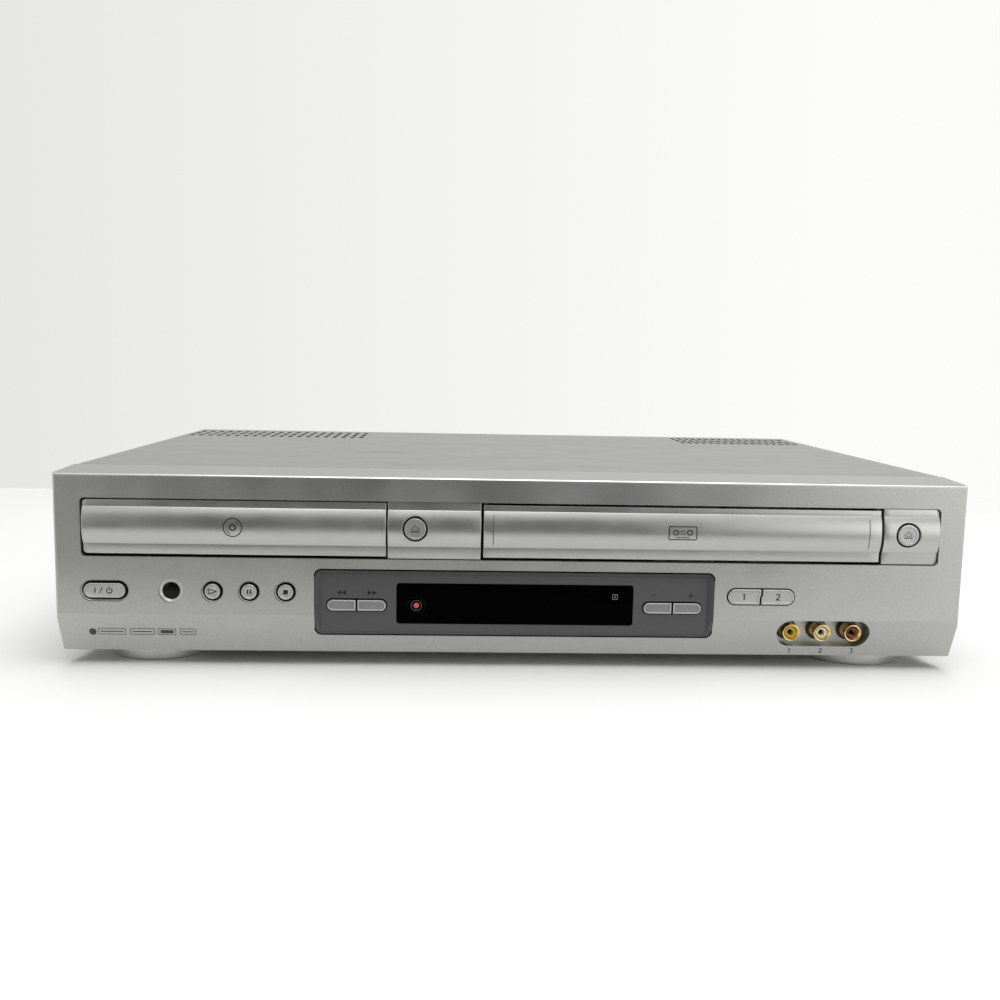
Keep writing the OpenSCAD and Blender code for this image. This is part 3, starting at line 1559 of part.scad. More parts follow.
module cassette_basket() {
    inner = cassette_w / 2 + basket_gap;
    outer = inner + basket_t;
    pin_end = carriage_x + carriage_t;
    color("gray") place() translate([bay_cx, 0, 0]) {
        for (side = [-1, 1]) {
            slab(side > 0 ? inner : -outer, side > 0 ? outer : -inner, basket_y0, basket_y0 + basket_l,
                basket_z - basket_t, basket_lid_z + basket_t);
            slab(side > 0 ? inner - basket_ledge : -outer, side > 0 ? outer : -inner + basket_ledge,
                basket_y0, basket_y0 + basket_l, basket_z - basket_t, basket_z);
            for (y = [carriage_y0 + pin_inset, carriage_y0 + carriage_l - pin_inset])
                rod_along_x(y, basket_pin_z, side > 0 ? outer - basket_t / 2 : -pin_end,
                    side > 0 ? pin_end : -outer + basket_t / 2, pin_r);
        }
        slab(-outer, outer, basket_y0 + lid_in, basket_y0 + basket_l - lid_end_in, basket_lid_z,
            basket_lid_z + basket_t);
    }
}

fascia();
top_cover();
base_chassis();
rear_panel();
front_feet();
rear_feet();
cover_screws();
disc_eject_panel();
tape_eject_panel();
tray_front();
disc_tray();
cassette_door();
display_panel();
display_window();
power_button();
play_button();
pause_button();
stop_button();
rewind_button();
forward_button();
record_button();
channel_down_button();
channel_up_button();
select_disc_button();
select_tape_button();
disc_eject_button();
tape_eject_button();
remote_lens();
front_socket_block();
front_socket_shells();
video_inserts();
left_inserts();
right_inserts();
control_board();
main_board();
power_board();
transformer();
tuner_module();
rear_socket_block();
rear_socket_shells();
mains_inlet();
loader_frame();
tray_pinion();
laser_sled();
guide_rods();
turntable();
clamp_bridge();
clamp_puck();
deck_sides();
deck_frame();
lower_drum();
upper_drum();
supply_reel();
takeup_reel();
capstan();
pinch_arm();
supply_arm();
takeup_arm();
cassette_carriage();
cassette_basket();
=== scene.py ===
"""Dresses a silver table-top disc and tape player over its CAD frame.

Lengths in the code are millimetres on the player's own drawing: x to the right seen from the front,
y backwards from the plane of the front face, z up from the table. row() turns them into metres.
"""

import logging
import math
from dataclasses import dataclass
from enum import Enum
from typing import Callable, Optional, Sequence

import bmesh
import bpy
import numpy as np
from mathutils import Matrix, Vector


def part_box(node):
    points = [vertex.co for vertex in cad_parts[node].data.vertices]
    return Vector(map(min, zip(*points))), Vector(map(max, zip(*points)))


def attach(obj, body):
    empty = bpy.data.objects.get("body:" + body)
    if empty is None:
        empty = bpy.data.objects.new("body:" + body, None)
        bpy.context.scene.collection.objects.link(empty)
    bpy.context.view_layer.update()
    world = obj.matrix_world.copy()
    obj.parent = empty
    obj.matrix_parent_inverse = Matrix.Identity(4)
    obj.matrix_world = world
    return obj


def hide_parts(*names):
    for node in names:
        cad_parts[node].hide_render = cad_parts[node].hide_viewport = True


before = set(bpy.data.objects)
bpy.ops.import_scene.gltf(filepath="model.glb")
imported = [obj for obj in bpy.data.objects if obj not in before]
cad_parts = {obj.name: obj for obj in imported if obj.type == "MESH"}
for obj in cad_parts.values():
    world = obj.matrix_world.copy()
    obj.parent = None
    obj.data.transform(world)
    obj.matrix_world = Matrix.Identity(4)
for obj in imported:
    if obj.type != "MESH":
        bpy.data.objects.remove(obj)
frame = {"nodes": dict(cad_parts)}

LOG = logging.getLogger("player")
MM = 0.001
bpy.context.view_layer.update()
FRONT_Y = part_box("fascia")[0].y / MM
ROUND = 64

Span = tuple[float, float]
Triple = tuple[float, float, float]
Corners = tuple[Triple, Triple]
Shape = tuple[np.ndarray, list]
Socket = bpy.types.NodeSocket
Surface = Callable[[np.ndarray, np.ndarray], np.ndarray]


# ---- materials


class Graph:
    """Node tree of one material, with short calls for the nodes that the finishes share."""

    def __init__(self, name: str) -> None:
        """Starts an empty material.

        Args:
            name: Name of the material.
        """
        self.material = bpy.data.materials.new(name)
        self.material.use_nodes = True
        self.tree = self.material.node_tree
        self.shader = self.tree.nodes["Principled BSDF"]
        self.point = self.add("ShaderNodeTexCoord").outputs["Object"]

    def add(self, kind: str, inputs: Optional[dict] = None, **settings: object) -> bpy.types.Node:
        """Adds a node.

        Args:
            kind: Blender's name of the node type.
            inputs: Values or sockets for its inputs, by name or number.
            **settings: Properties of the node.

        Returns:
            The node.
        """
        node = self.tree.nodes.new(kind)
        for key, value in settings.items():
            setattr(node, key, value)
        for key, value in (inputs or {}).items():
            self.feed(node.inputs[key], value)
        return node

    def feed(self, socket: Socket, value: object) -> None:
        """Links a socket to another, or sets its value.

        Args:
            socket: Socket that is fed.
            value: Other socket, or value.
        """
        if isinstance(value, bpy.types.NodeSocket):
            self.tree.links.new(value, socket)
        else:
            socket.default_value = value

    def number(self, operation: str, *values: object) -> Socket:
        """Result of one operation on numbers."""
        return self.add("ShaderNodeMath", dict(enumerate(values)), operation=operation).outputs[0]

    def vector(self, operation: str, *values: object) -> Socket:
        """Result of one operation on places or colours."""
        return self.add("ShaderNodeVectorMath", dict(enumerate(values)), operation=operation).outputs[0]

    def stretched(self, size: float, stretch: Triple) -> Socket:
        """Object coordinates counted in spots of a size.

        Args:
            size: Size of one spot in mm.
            stretch: How many times longer a spot is along x, y and z.

        Returns:
            The socket of the scaled coordinates.
        """
        scale = tuple(1.0 / (size * MM * s) for s in stretch)
        return self.add("ShaderNodeMapping", {"Vector": self.point, "Scale": scale}).outputs[0]

    def noise(self, size: float, stretch: Triple = (1, 1, 1), detail: float = 3.0) -> Socket:
        """Cloudy noise between 0 and 1.

        Args:
            size: Size of one cloud in mm.
            stretch: How many times longer a cloud is along x, y and z.
            detail: Number of finer layers.

        Returns:
            The socket of the noise.
        """
        inputs = {"Vector": self.stretched(size, stretch), "Scale": 1.0, "Detail": detail}
        return self.add("ShaderNodeTexNoise", inputs).outputs["Fac"]

    def cells(self, size: float, stretch: Triple = (1, 1, 1), edges: bool = False) -> Socket:
        """Voronoi cells: a random colour for each cell, or the distance to the nearest edge.

        Args:
            size: Size of one cell in mm.
            stretch: How many times longer a cell is along x, y and z.
            edges: Whether the distance to the edge is wanted.

        Returns:
            The socket of the colour or distance.
        """
        inputs = {"Vector": self.stretched(size, stretch), "Scale": 1.0}
        node = self.add("ShaderNodeTexVoronoi", inputs, feature="DISTANCE_TO_EDGE" if edges else "F1")
        return node.outputs["Distance" if edges else "Color"]

    def cell_value(self, size: float) -> Socket:
        """One random number for each cell of a size: the red share of the cell's colour."""
        return self.add("ShaderNodeSeparateColor", {0: self.cells(size)}).outputs[0]

    def span(self, value: Socket, low: float, high: float, source: Span = (0.0, 1.0)) -> Socket:
        """Maps a value from its source range to a range from low to high."""
        inputs = {0: value, 1: source[0], 2: source[1], 3: low, 4: high}
        return self.add("ShaderNodeMapRange", inputs).outputs[0]

    def mix(self, share: object, a: object, b: object) -> Socket:
        """Blends two colours.

        Args:
            share: Share of the second colour, as a number or socket.
            a: First colour, as numbers or socket.
            b: Second colour, as numbers or socket.

        Returns:
            The socket of the blended colour.
        """
        node = self.add("ShaderNodeMix", data_type="RGBA")
        for index, value in ((0, share), (6, a), (7, b)):
            self.feed(node.inputs[index], (*value, 1.0) if isinstance(value, tuple) else value)
        return node.outputs[2]

    def bump(self, height: Socket, depth: float, after: Optional[Socket] = None) -> Socket:
        """Turns a height between 0 and 1 into a bent normal.

        Args:
            height: Socket of the height.
            depth: Height of 1 in mm.
            after: Normal of an earlier bump to add to.

        Returns:
            The socket of the normal.
        """
        inputs = {"Height": height, "Distance": depth * MM, "Strength": 1.0}
        if after is not None:
            inputs["Normal"] = after
        return self.add("ShaderNodeBump", inputs).outputs[0]

    def within(self, low: Triple, high: Triple) -> Socket:
        """Mask that is 1 inside a box.

        Args:
            low: Lowest corner of the box on the drawing.
            high: Highest corner of the box on the drawing.

        Returns:
            The socket of the mask.
        """
        parts = self.add("ShaderNodeSeparateXYZ", {0: self.point}).outputs
        mask = None
        for axis, (a, b) in enumerate(zip(row(np.array(low)), row(np.array(high)))):
            test = self.number("COMPARE", parts[axis], float(a + b) / 2, float(b - a) / 2)
            mask = test if mask is None else self.times(mask, test)
        return mask

    def times(self, a: object, b: object) -> Socket:
        """Product of two values."""
        return self.number("MULTIPLY", a, b)

    def scaled(self, colour: Socket, factor: object) -> Socket:
        """Colour made lighter or darker by a value."""
        return self.vector("MULTIPLY", colour, factor)


def tint(colour: Triple, factor: float) -> Triple:
    """A colour made lighter or darker by a factor."""
    return tuple(min(1.0, c * factor) for c in colour)


@dataclass(frozen=True)
class Finish:
    """Look of one surface.

    Attributes:
        name: Name of the material.
        colour: Base colour, linear.
        roughness: Middle of the roughness.
        metallic: Share of metal.
        coat: Weight of a clear coat.
        shine: Specular level of the bare surface.
        spread: How much the cloudy pattern changes the colour, as a share of it.
        cloud: Size of the clouds in mm.
        grain: Size of the fine grain in mm.
        depth: Depth of the fine grain in mm.
        uneven: How far the roughness strays from its middle.
        least: Lowest roughness.
        coat_roughness: Roughness of the clear coat.
    """

    name: str
    colour: Triple
    roughness: float = 0.5
    metallic: float = 0.0
    coat: float = 0.0
    shine: float = 0.5
    spread: float = 0.05
    cloud: float = 30.0
    grain: float = 0.3
    depth: float = 0.004
    uneven: float = 0.04
    least: float = 0.02
    coat_roughness: float = 0.12

    def pattern(self, g: Graph) -> Socket:
        """Colour pattern of the surface: two layers of clouds around the base colour.

        Args:
            g: Node tree of the material.

        Returns:
            The socket of the colour.
        """
        pale, dark = tint(self.colour, 1 + self.spread), tint(self.colour, 1 - self.spread)
        wide = g.mix(g.noise(self.cloud), dark, pale)
        fine = g.span(g.noise(self.grain * 4), 1 - self.spread / 2, 1 + self.spread / 2)
        return g.scaled(wide, fine)

    def relief(self, g: Graph) -> Socket:
        """Normal of the surface: fine even grain."""
        return g.bump(g.noise(self.grain, detail=2.0), self.depth)

    def gloss(self, g: Graph) -> Socket:
        """Roughness of the surface, a little uneven."""
        low, high = max(self.least, self.roughness - self.uneven), self.roughness + self.uneven
        return g.span(g.noise(self.cloud / 2), low, high, source=(0.3, 0.7))

    def material(self) -> bpy.types.Material:
        """Builds the material once and returns it each time it is asked for.

        Returns:
            The material.
        """
        known = bpy.data.materials.get(self.name)
        if known is not None:
            return known
        g = Graph(self.name)
        looks = {"Base Color": self.pattern(g), "Roughness": self.gloss(g), "Normal": self.relief(g),
                 "Metallic": self.metallic, "Specular IOR Level": self.shine,
                 "Coat Weight": self.coat, "Coat Roughness": self.coat_roughness}
        for key, value in looks.items():
            g.feed(g.shader.inputs[key], value)
        return g.material


@dataclass(frozen=True)
class SilverPaint(Finish):
    """Metallic paint: bright flakes in a grey base, under a soft orange-peel surface.

    Attributes:
        flake: Size of a flake in mm.
        sparkle: How much lighter or darker than the base a flake may be.
        peel: Depth of the orange peel in mm.
        peel_size: Size of its dimples in mm.
    """

    flake: float = 0.22
    sparkle: float = 0.10
    peel: float = 0.006
    peel_size: float = 3.0

    def pattern(self, g: Graph) -> Socket:
        """Clouds of the base, each flake a little lighter or darker than it.

        Args:
            g: Node tree of the material.

        Returns:
            The socket of the colour.
        """
        clouds = Finish.pattern(self, g)
        flakes = g.span(g.cell_value(self.flake), 1 - self.sparkle, 1 + self.sparkle)
        return g.scaled(clouds, flakes)

    def relief(self, g: Graph) -> Socket:
        """Fine grain over wide, shallow orange peel."""
        peel = g.bump(g.noise(self.peel_size, detail=1.0), self.peel)
        return g.bump(g.noise(self.grain, detail=2.0), self.depth, peel)


@dataclass(frozen=True)
class ShellPaint(SilverPaint):
    """Silver paint on the outside of a moulding, with painted light: the unpainted inside and the button
    holes near black as painted shade in the gaps, a painted highlight on the upper front edge, and painted
    shade on top.
    """

    band_inside: Corners = ((-210.0, 2.7, 27.5), (210.0, 19.3, 89.2))
    power_hole: Corners = ((-205.0, 0.35, 31.0), (-170.0, 3.0, 43.0))
    play_holes: Corners = ((-152.0, 0.35, 31.0), (-101.0, 3.0, 43.0))
    select_hole: Corners = ((99.0, 0.1, 31.0), (136.0, 3.0, 43.0))
    # Near black of the unpainted inside and the button holes, which also paints the shade in the gaps.
    dark: Triple = (0.004, 0.004, 0.004)
    # Strip along the upper front edge that gets a painted highlight.
    edge: Corners = ((-216.0, -0.2, 91.35), (216.0, 0.45, 92.4))
    edge_highlight_tint: float = 1.65
    # Top of the moulding, which gets painted shade.
    top: Corners = ((-216.0, 0.5, 91.0), (216.0, 20.0, 95.0))
    top_shade_tint: float = 0.82

    def pattern(self, g: Graph) -> Socket:
        """Paint: near black inside and in the button holes as painted shade in the gaps, a painted highlight
        on the upper front edge, painted shade on top.

        Args:
            g: Node tree of the material.

        Returns:
            The socket of the colour.
        """
        colour = SilverPaint.pattern(self, g)
        # Inside of the band and walls of the button holes near black: painted shade in the gaps, over the
        # unpainted inside.
        for low, high in (self.band_inside, self.power_hole, self.play_holes, self.select_hole):
            colour = g.mix(g.within(low, high), colour, self.dark)
        # Painted highlight: the upper front edge lighter than the rest of the paint.
        colour = g.mix(g.within(*self.edge), colour, tint(self.colour, self.edge_highlight_tint))
        # Painted shade: the top of the moulding darker than its front.
        return g.mix(g.within(*self.top), colour, g.scaled(colour, (self.top_shade_tint,) * 3))


@dataclass(frozen=True)
class RolledSheet(SilverPaint):
    """Painted sheet steel whose rolling streaks still show, with rubbed patches."""

    streak: float = 4.0
    streak_stretch: Triple = (22, 1, 1)
    streak_tones: Span = (0.95, 1.05)
    rubbed: float = 38.0
    rubbed_tone: float = 0.93
    smudge: Triple = (-67.0, 113.0, 94.1)
    smudge_size: Triple = (34.0, 7.0, 20.0)
    smudge_tone: float = 0.8
    smudge_edge: float = 9.0

    def pattern(self, g: Graph) -> Socket:
        """Long streaks over the flaked base, a few faint rubbed patches and one old smudge.

        Args:
            g: Node tree of the material.

        Returns:
            The socket of the colour.
        """
        base = SilverPaint.pattern(self, g)
        streak = g.span(g.noise(self.streak, self.streak_stretch), *self.streak_tones, source=(0.3, 0.7))
        patches = g.noise(self.rubbed, (1.6, 0.7, 1), detail=6.0)
        rubbed = g.span(patches, self.rubbed_tone, 1.0, source=(0.3, 0.42))
        return g.scaled(base, g.times(g.times(streak, rubbed), self.mark(g)))

    def mark(self, g: Graph) -> Socket:
        """Smudge: the distance from its middle, counted in its half sizes, with wisps added at its edge.

        Args:
            g: Node tree of the material.

        Returns:
            The socket of the tone, 1 away from the smudge.
        """
        offset = g.vector("SUBTRACT", g.point, tuple(float(c) for c in row(np.array(self.smudge))))
        counted = g.vector("MULTIPLY", offset, tuple(1.0 / (c * MM) for c in self.smudge_size))
        distance = g.add("ShaderNodeVectorMath", {0: counted}, operation="LENGTH").outputs[1]
        ragged = g.number("ADD", distance, g.noise(self.smudge_edge, (2, 1, 1)))
        return g.span(ragged, self.smudge_tone, 1.0, source=(1.05, 1.4))


@dataclass(frozen=True)
class PlatedSheet(Finish):
    """Zinc-plated sheet: large flat crystals and short rolling marks."""

    crystal: float = 2.2
    tones: Span = (0.95, 1.04)
    rolling: float = 0.5
    rolling_stretch: Triple = (20, 1, 1)

    def pattern(self, g: Graph) -> Socket:
        """Each crystal has its own grey."""
        dark, pale = (tint(self.colour, tone) for tone in self.tones)
        return g.mix(g.cell_value(self.crystal), dark, pale)

    def relief(self, g: Graph) -> Socket:
        """Rolling marks along the width."""
        return g.bump(g.noise(self.rolling, self.rolling_stretch), self.depth)


@dataclass(frozen=True)
class TurnedMetal(Finish):
    """Turned or ground metal with fine rings or lines along one direction."""

    line: float = 0.25
    stretch: Triple = (1, 1, 12)

    def relief(self, g: Graph) -> Socket:
        """Fine parallel lines."""
        return g.bump(g.noise(self.line, self.stretch), self.depth)


@dataclass(frozen=True)
class CircuitBoard(Finish):
    """Coated board: lighter copper tracks under the coating, and tinned pads."""

    track: Triple = (0.022, 0.10, 0.04)
    track_cell: float = 2.6
    track_edge: Span = (0.05, 0.09)
    pad: Triple = (0.55, 0.55, 0.52)
    pad_pitch: float = 4.0
    pad_stray: float = 0.35
    pad_edge: Span = (0.12, 0.17)

    def pattern(self, g: Graph) -> Socket:
        """Tracks run where stretched cells meet, and pads are dots on a grid.

        Args:
            g: Node tree of the material.

        Returns:
            The socket of the colour.
        """
        edge = g.span(g.cells(self.track_cell, (3, 1, 1), edges=True), 1.0, 0.0, source=self.track_edge)
        board = g.mix(edge, self.colour, self.track)
        grid = {"Vector": g.stretched(self.pad_pitch, (1, 1, 1)), "Scale": 1.0, "Randomness": self.pad_stray}
        away = g.add("ShaderNodeTexVoronoi", grid).outputs["Distance"]
        return g.mix(g.span(away, 1.0, 0.0, source=self.pad_edge), board, self.pad)


@dataclass(frozen=True)
class WoundTape(Finish):
    """Taped winding: bands of tape edges around an upright core."""

    band: float = 2.2
    band_stretch: Triple = (30, 30, 1)
    band_step: float = 0.12

    def relief(self, g: Graph) -> Socket:
        """Steps at the tape edges."""
        return g.bump(g.noise(self.band, self.band_stretch), self.band_step)


class Look(Enum):
    """Every finish of the player."""

    FRONT = ShellPaint("front_paint", (0.44, 0.446, 0.428), 0.34, 0.87, spread=0.03, cloud=60, peel=0.003)
    BAND = SilverPaint("band_paint", (0.46, 0.465, 0.446), 0.31, 0.87, spread=0.02, flake=0.16,
                       sparkle=0.04, depth=0.002, peel=0.0008)
    CAP = SilverPaint("cap_paint", (0.46, 0.465, 0.46), 0.28, 0.7, spread=0.02, flake=0.14,
                      sparkle=0.05, peel=0.001)
    PANEL_CAP = SilverPaint("panel_cap_paint", (0.245, 0.248, 0.245), 0.3, 0.7, spread=0.02, flake=0.14,
                            sparkle=0.05, peel=0.001)
    COVER = RolledSheet("cover_paint", (0.238, 0.243, 0.231), 0.42, 0.6, spread=0.03, cloud=45)
    FOOT = SilverPaint("foot_paint", (0.55, 0.55, 0.545), 0.34, 0.6)
    SHEET = PlatedSheet("zinc_sheet", (0.55, 0.55, 0.53), 0.36, 0.9, depth=0.003)
    PANEL = Finish("panel_grey", (0.066, 0.069, 0.067), 0.42, spread=0.06, cloud=20, grain=0.35, depth=0.012)
    LIP = Finish("panel_lip", (0.16, 0.165, 0.165), 0.35, spread=0.06, cloud=20, grain=0.35)
    WINDOW = Finish("window_black", (0.0006, 0.0006, 0.0007), 0.2, shine=0.008, spread=0.3, cloud=8,
                    depth=0.0004)
    LENS = Finish("lens_black", (0.004, 0.004, 0.005), 0.22, shine=0.15, depth=0.001)
    BLACK = Finish("black_moulding", (0.018, 0.018, 0.018), 0.5, spread=0.15, grain=0.4, depth=0.012)
    GREY = Finish("grey_moulding", (0.11, 0.11, 0.115), 0.48, spread=0.08, grain=0.4, depth=0.01)
    RUBBER = Finish("rubber_black", (0.02, 0.02, 0.02), 0.75, spread=0.2, grain=0.5, depth=0.02)
    GOLD = TurnedMetal("gold_plating", (0.83, 0.60, 0.24), 0.2, 1.0, depth=0.001, stretch=(6, 1, 6))
    NICKEL = TurnedMetal("nickel_plating", (0.72, 0.70, 0.66), 0.22, 1.0, depth=0.001, stretch=(6, 1, 6))
    YELLOW = Finish("yellow_insert", (0.5, 0.41, 0.03), 0.3, coat=0.2, grain=0.2)
    WHITE = Finish("white_insert", (0.78, 0.76, 0.68), 0.35, coat=0.2, grain=0.2)
    RED = Finish("red_insert", (0.13, 0.012, 0.005), 0.3, coat=0.2, grain=0.2)
    BOARD = CircuitBoard("board_green", (0.012, 0.06, 0.025), 0.4, coat=0.15)
    PHENOLIC = CircuitBoard("board_brown", (0.33, 0.19, 0.07), 0.45, track=(0.38, 0.23, 0.09))
    TAPE = WoundTape("winding_tape", (0.62, 0.45, 0.06), 0.4, coat=0.3)
    TIN = PlatedSheet("tin_can", (0.62, 0.62, 0.6), 0.28, 1.0, depth=0.002)
    STEEL = TurnedMetal("ground_steel", (0.6, 0.6, 0.6), 0.18, 1.0, depth=0.001)
    BRASS = TurnedMetal("brass_arm", (0.68, 0.5, 0.2), 0.3, 1.0, depth=0.002)
    INK = Finish("dark_ink", (0.012, 0.012, 0.012), 0.6, shine=0.2, spread=0.1, depth=0.002)
    GREY_INK = Finish("grey_ink", (0.06, 0.06, 0.06), 0.6, shine=0.2, spread=0.1, depth=0.002)
    PALE_INK = Finish("pale_ink", (0.16, 0.16, 0.16), 0.6, spread=0.1, depth=0.002)
    RED_DOT = Finish("red_dot", (0.62, 0.07, 0.05), 0.4, spread=0.1, depth=0.002)


# ---- meshes


def row(points: np.ndarray) -> np.ndarray:
    """Points of the drawing in mm, turned into metres of the row frame."""
    return (np.asarray(points, float) + np.array([0.0, FRONT_Y, 0.0])) * MM


def corners(node: str) -> tuple[np.ndarray, np.ndarray]:
    """Lowest and highest corner of a CAD node, on the drawing."""
    low, high = (np.array(corner) / MM - [0.0, FRONT_Y, 0.0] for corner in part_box(node))
    return low, high


def level(depth: float) -> Surface:
    """Upright surface at one depth."""
    return lambda u, v: np.full_like(u, depth)


def piece(name: str, points: np.ndarray, faces: Sequence, look: Look, body: str = "case",
          smooth: float = 32.0, node: str = "", slot: str = "") -> bpy.types.Object:
    """Makes a finished object from a closed surface, and lets it ride on a body.

    Args:
        name: Name of the piece.
        points: Points in mm, one per row.
        faces: Lists of point numbers.
        look: Finish of the piece.
        body: Body that carries it.
        smooth: Angle in degrees up to which edges are shaded smooth.
        node: CAD node that the piece stands for, if any.
        slot: Material slot of the record; not used.

    Returns:
        The object.
    """
    mesh = bpy.data.meshes.new(name)
    mesh.from_pydata(row(points), [], [list(map(int, face)) for face in faces])
    mesh.validate()
    work = bmesh.new()
    work.from_mesh(mesh)
    bmesh.ops.remove_doubles(work, verts=work.verts, dist=1e-7)
    bmesh.ops.recalc_face_normals(work, faces=work.faces)
    work.to_mesh(mesh)
    work.free()
    mesh.shade_smooth()
    mesh.set_sharp_from_angle(angle=math.radians(smooth))
    thing = bpy.data.objects.new(name, mesh)
    bpy.context.scene.collection.objects.link(thing)
    thing.data.materials.append(look.value.material())
    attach(thing, body)
    if node:
        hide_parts(node)
    LOG.info("%s: %d faces on %s", name, len(mesh.polygons), body)
    return thing


def quads(rows: int, columns: int, around: bool = True) -> np.ndarray:
    """Faces between the rows of a grid of points.

    Args:
        rows: Number of rows.
        columns: Points in each row.
        around: Whether each row closes on itself.

    Returns:
        Array with four point numbers for each face.
    """
    i, j = np.meshgrid(np.arange(rows - 1), np.arange(columns if around else columns - 1), indexing="ij")
    here, beside = i * columns + j, i * columns + (j + 1) % columns
    return np.stack([here, beside, beside + columns, here + columns], -1).reshape(-1, 4)


def stack(rings: np.ndarray, capped: bool = True) -> Shape:
    """Surface through rings of points.

    Args:
        rings: Array of rings, points and coordinates.
        capped: Whether the first and the last ring are closed by flat faces.

    Returns:
        Points and faces.
    """
    count, around = rings.shape[:2]
    faces = quads(count, around).tolist()
    if capped:
        faces.append(list(range(around))[::-1])
        faces.append(list(range((count - 1) * around, count * around)))
    return rings.reshape(-1, 3), faces


def stacked(outlines: Sequence[tuple[np.ndarray, float]], x: float, z: float, capped: bool = True) -> Shape:
    """Surface through upright outlines, each at its own depth.

    Args:
        outlines: Pairs of an outline in x and z and its depth.
        x: Middle of the outlines.
        z: Height of their middle.
        capped: Whether the first and the last outline are closed.

    Returns:
        Points and faces.
    """
    rings = [np.column_stack([line[:, 0] + x, np.full(len(line), y), line[:, 1] + z]) for line, y in outlines]
    return stack(np.array(rings), capped)


def weld(points: np.ndarray, faces: Sequence) -> Shape:
    """Merges points that lie on each other, and drops faces that shrink to a line.

    Args:
        points: Points of a surface.
        faces: Its faces.

    Returns:
        Points and faces that are left.
    """
    merged, index = np.unique(np.round(points, 4), axis=0, return_inverse=True)
    index = index.reshape(-1)
    rings = []
    for face in faces:
        own = index[list(face)]
        rings.append([int(n) for n, last in zip(own, np.roll(own, 1)) if n != last])
    return merged, [ring for ring in rings if len(ring) > 2]


def thicken(points: np.ndarray, back: np.ndarray, faces: Sequence) -> Shape:
    """Closed sheet from a surface: its back is the same surface moved, and walls join their borders.

    Args:
        points: Points of the front.
        back: The same points on the back.
        faces: Faces of the front.

    Returns:
        Points and faces.
    """
    count = len(points)
    edges = [edge for face in faces for edge in zip(face, [*face[1:], face[0]])]
    known = set(edges)
    walls = [[b, a, a + count, b + count] for a, b in edges if (b, a) not in known]
    rear = [[n + count for n in reversed(face)] for face in faces]
    return np.vstack([points, back]), [*faces, *rear, *walls]


def join(*parts: Shape) -> Shape:
    """Puts several surfaces into one.

    Args:
        *parts: Points and faces of each surface.

    Returns:
        Points and renumbered faces of them all.
    """
    points, faces, start = [], [], 0
    for some, own in parts:
        points.append(np.asarray(some).reshape(-1, 3))
        faces.extend([[n + start for n in face] for face in own])
        start += len(points[-1])
    return np.vstack(points), faces


def circle(radius: float, count: int = ROUND) -> np.ndarray:
    """Outline of a circle in x and z around the origin."""
    turn = np.linspace(0, 2 * np.pi, count, endpoint=False)
    return radius * np.stack([np.cos(turn), np.sin(turn)], -1)


def rounded(half_w: float, half_h: float, radii: Sequence[float], steps: int = 12) -> np.ndarray:
    """Rectangle whose four corners are arcs, each with its own radius.

    Args:
        half_w: Half of the width.
        half_h: Half of the height.
        radii: Radii of the corners, from right top, left top, left bottom to right bottom.
        steps: Points on each arc.

    Returns:
        Outline in x and z, counter-clockwise.
    """
    parts = []
    for number, (sx, sz) in enumerate(((1, 1), (-1, 1), (-1, -1), (1, -1))):
        r = radii[number]
        turn = np.pi / 2 * (number + np.linspace(0, 1, steps))
        centre = np.array([sx * (half_w - r), sz * (half_h - r)])
        parts.append(centre + r * np.stack([np.cos(turn), np.sin(turn)], -1))
    return np.vstack(parts)


def outset(outline: np.ndarray, distance: float) -> np.ndarray:
    """Outline moved outwards along its normals, which are its tangents turned by a right angle.

    Args:
        outline: Points in x and z, counter-clockwise.
        distance: How far they move, inwards where it is negative.

    Returns:
        Points of the new outline.
    """
    tangent = np.roll(outline, -1, 0) - np.roll(outline, 1, 0)
    normal = np.stack([tangent[:, 1], -tangent[:, 0]], -1)
    normal /= np.maximum(np.linalg.norm(normal, axis=1, keepdims=True), 1e-9)
    return outline + distance * normal


class Axis(Enum):
    """Direction of the line that a shape is turned around."""

    X = 0
    Y = 1
    Z = 2


def lathe(axis: Axis, centre: Triple, profile: Sequence[Span], count: int = ROUND,
          capped: bool = True) -> Shape:
    """Turned shape: each pair of the profile gives a ring of its radius at its place along the axis.

    Args:
        axis: Direction of the axis.
        centre: Point on the axis that the places count from.
        profile: Pairs of radius and place.
        count: Points around.
        capped: Whether both ends are closed. A profile that comes back to its start needs no caps.

    Returns:
        Points and faces.
    """
    ring = circle(1.0, count)
    radius, place = np.array(profile, float).T
    across = np.stack([np.outer(radius, ring[:, 0]), np.outer(radius, ring[:, 1])], -1)
    rings = np.insert(across, axis.value, np.repeat(place[:, None], count, 1), axis=-1)
    return stack(rings + np.array(centre), capped)


def box(x: Span, y: Span, z: Span, edge: float = 0.0) -> Shape:
    """Upright block whose four upright edges and two rims are cut at an angle.

    Args:
        x: Ends along x.
        y: Ends along y.
        z: Ends along z.
        edge: Width of the cut edges.

    Returns:
        Points and faces.
    """
    mid = np.array([sum(x) / 2, sum(y) / 2])
    half = np.array([x[1] - x[0], y[1] - y[0]]) / 2
    rings = []
    for height, inset in ((z[0], edge), (z[0] + edge, 0.0), (z[1] - edge, 0.0), (z[1], edge)):
        outline = rounded(half[0] - inset, half[1] - inset, [max(edge - inset, 1e-4)] * 4, 2) + mid
        rings.append(np.column_stack([outline, np.full(len(outline), height)]))
    return stack(np.array(rings))


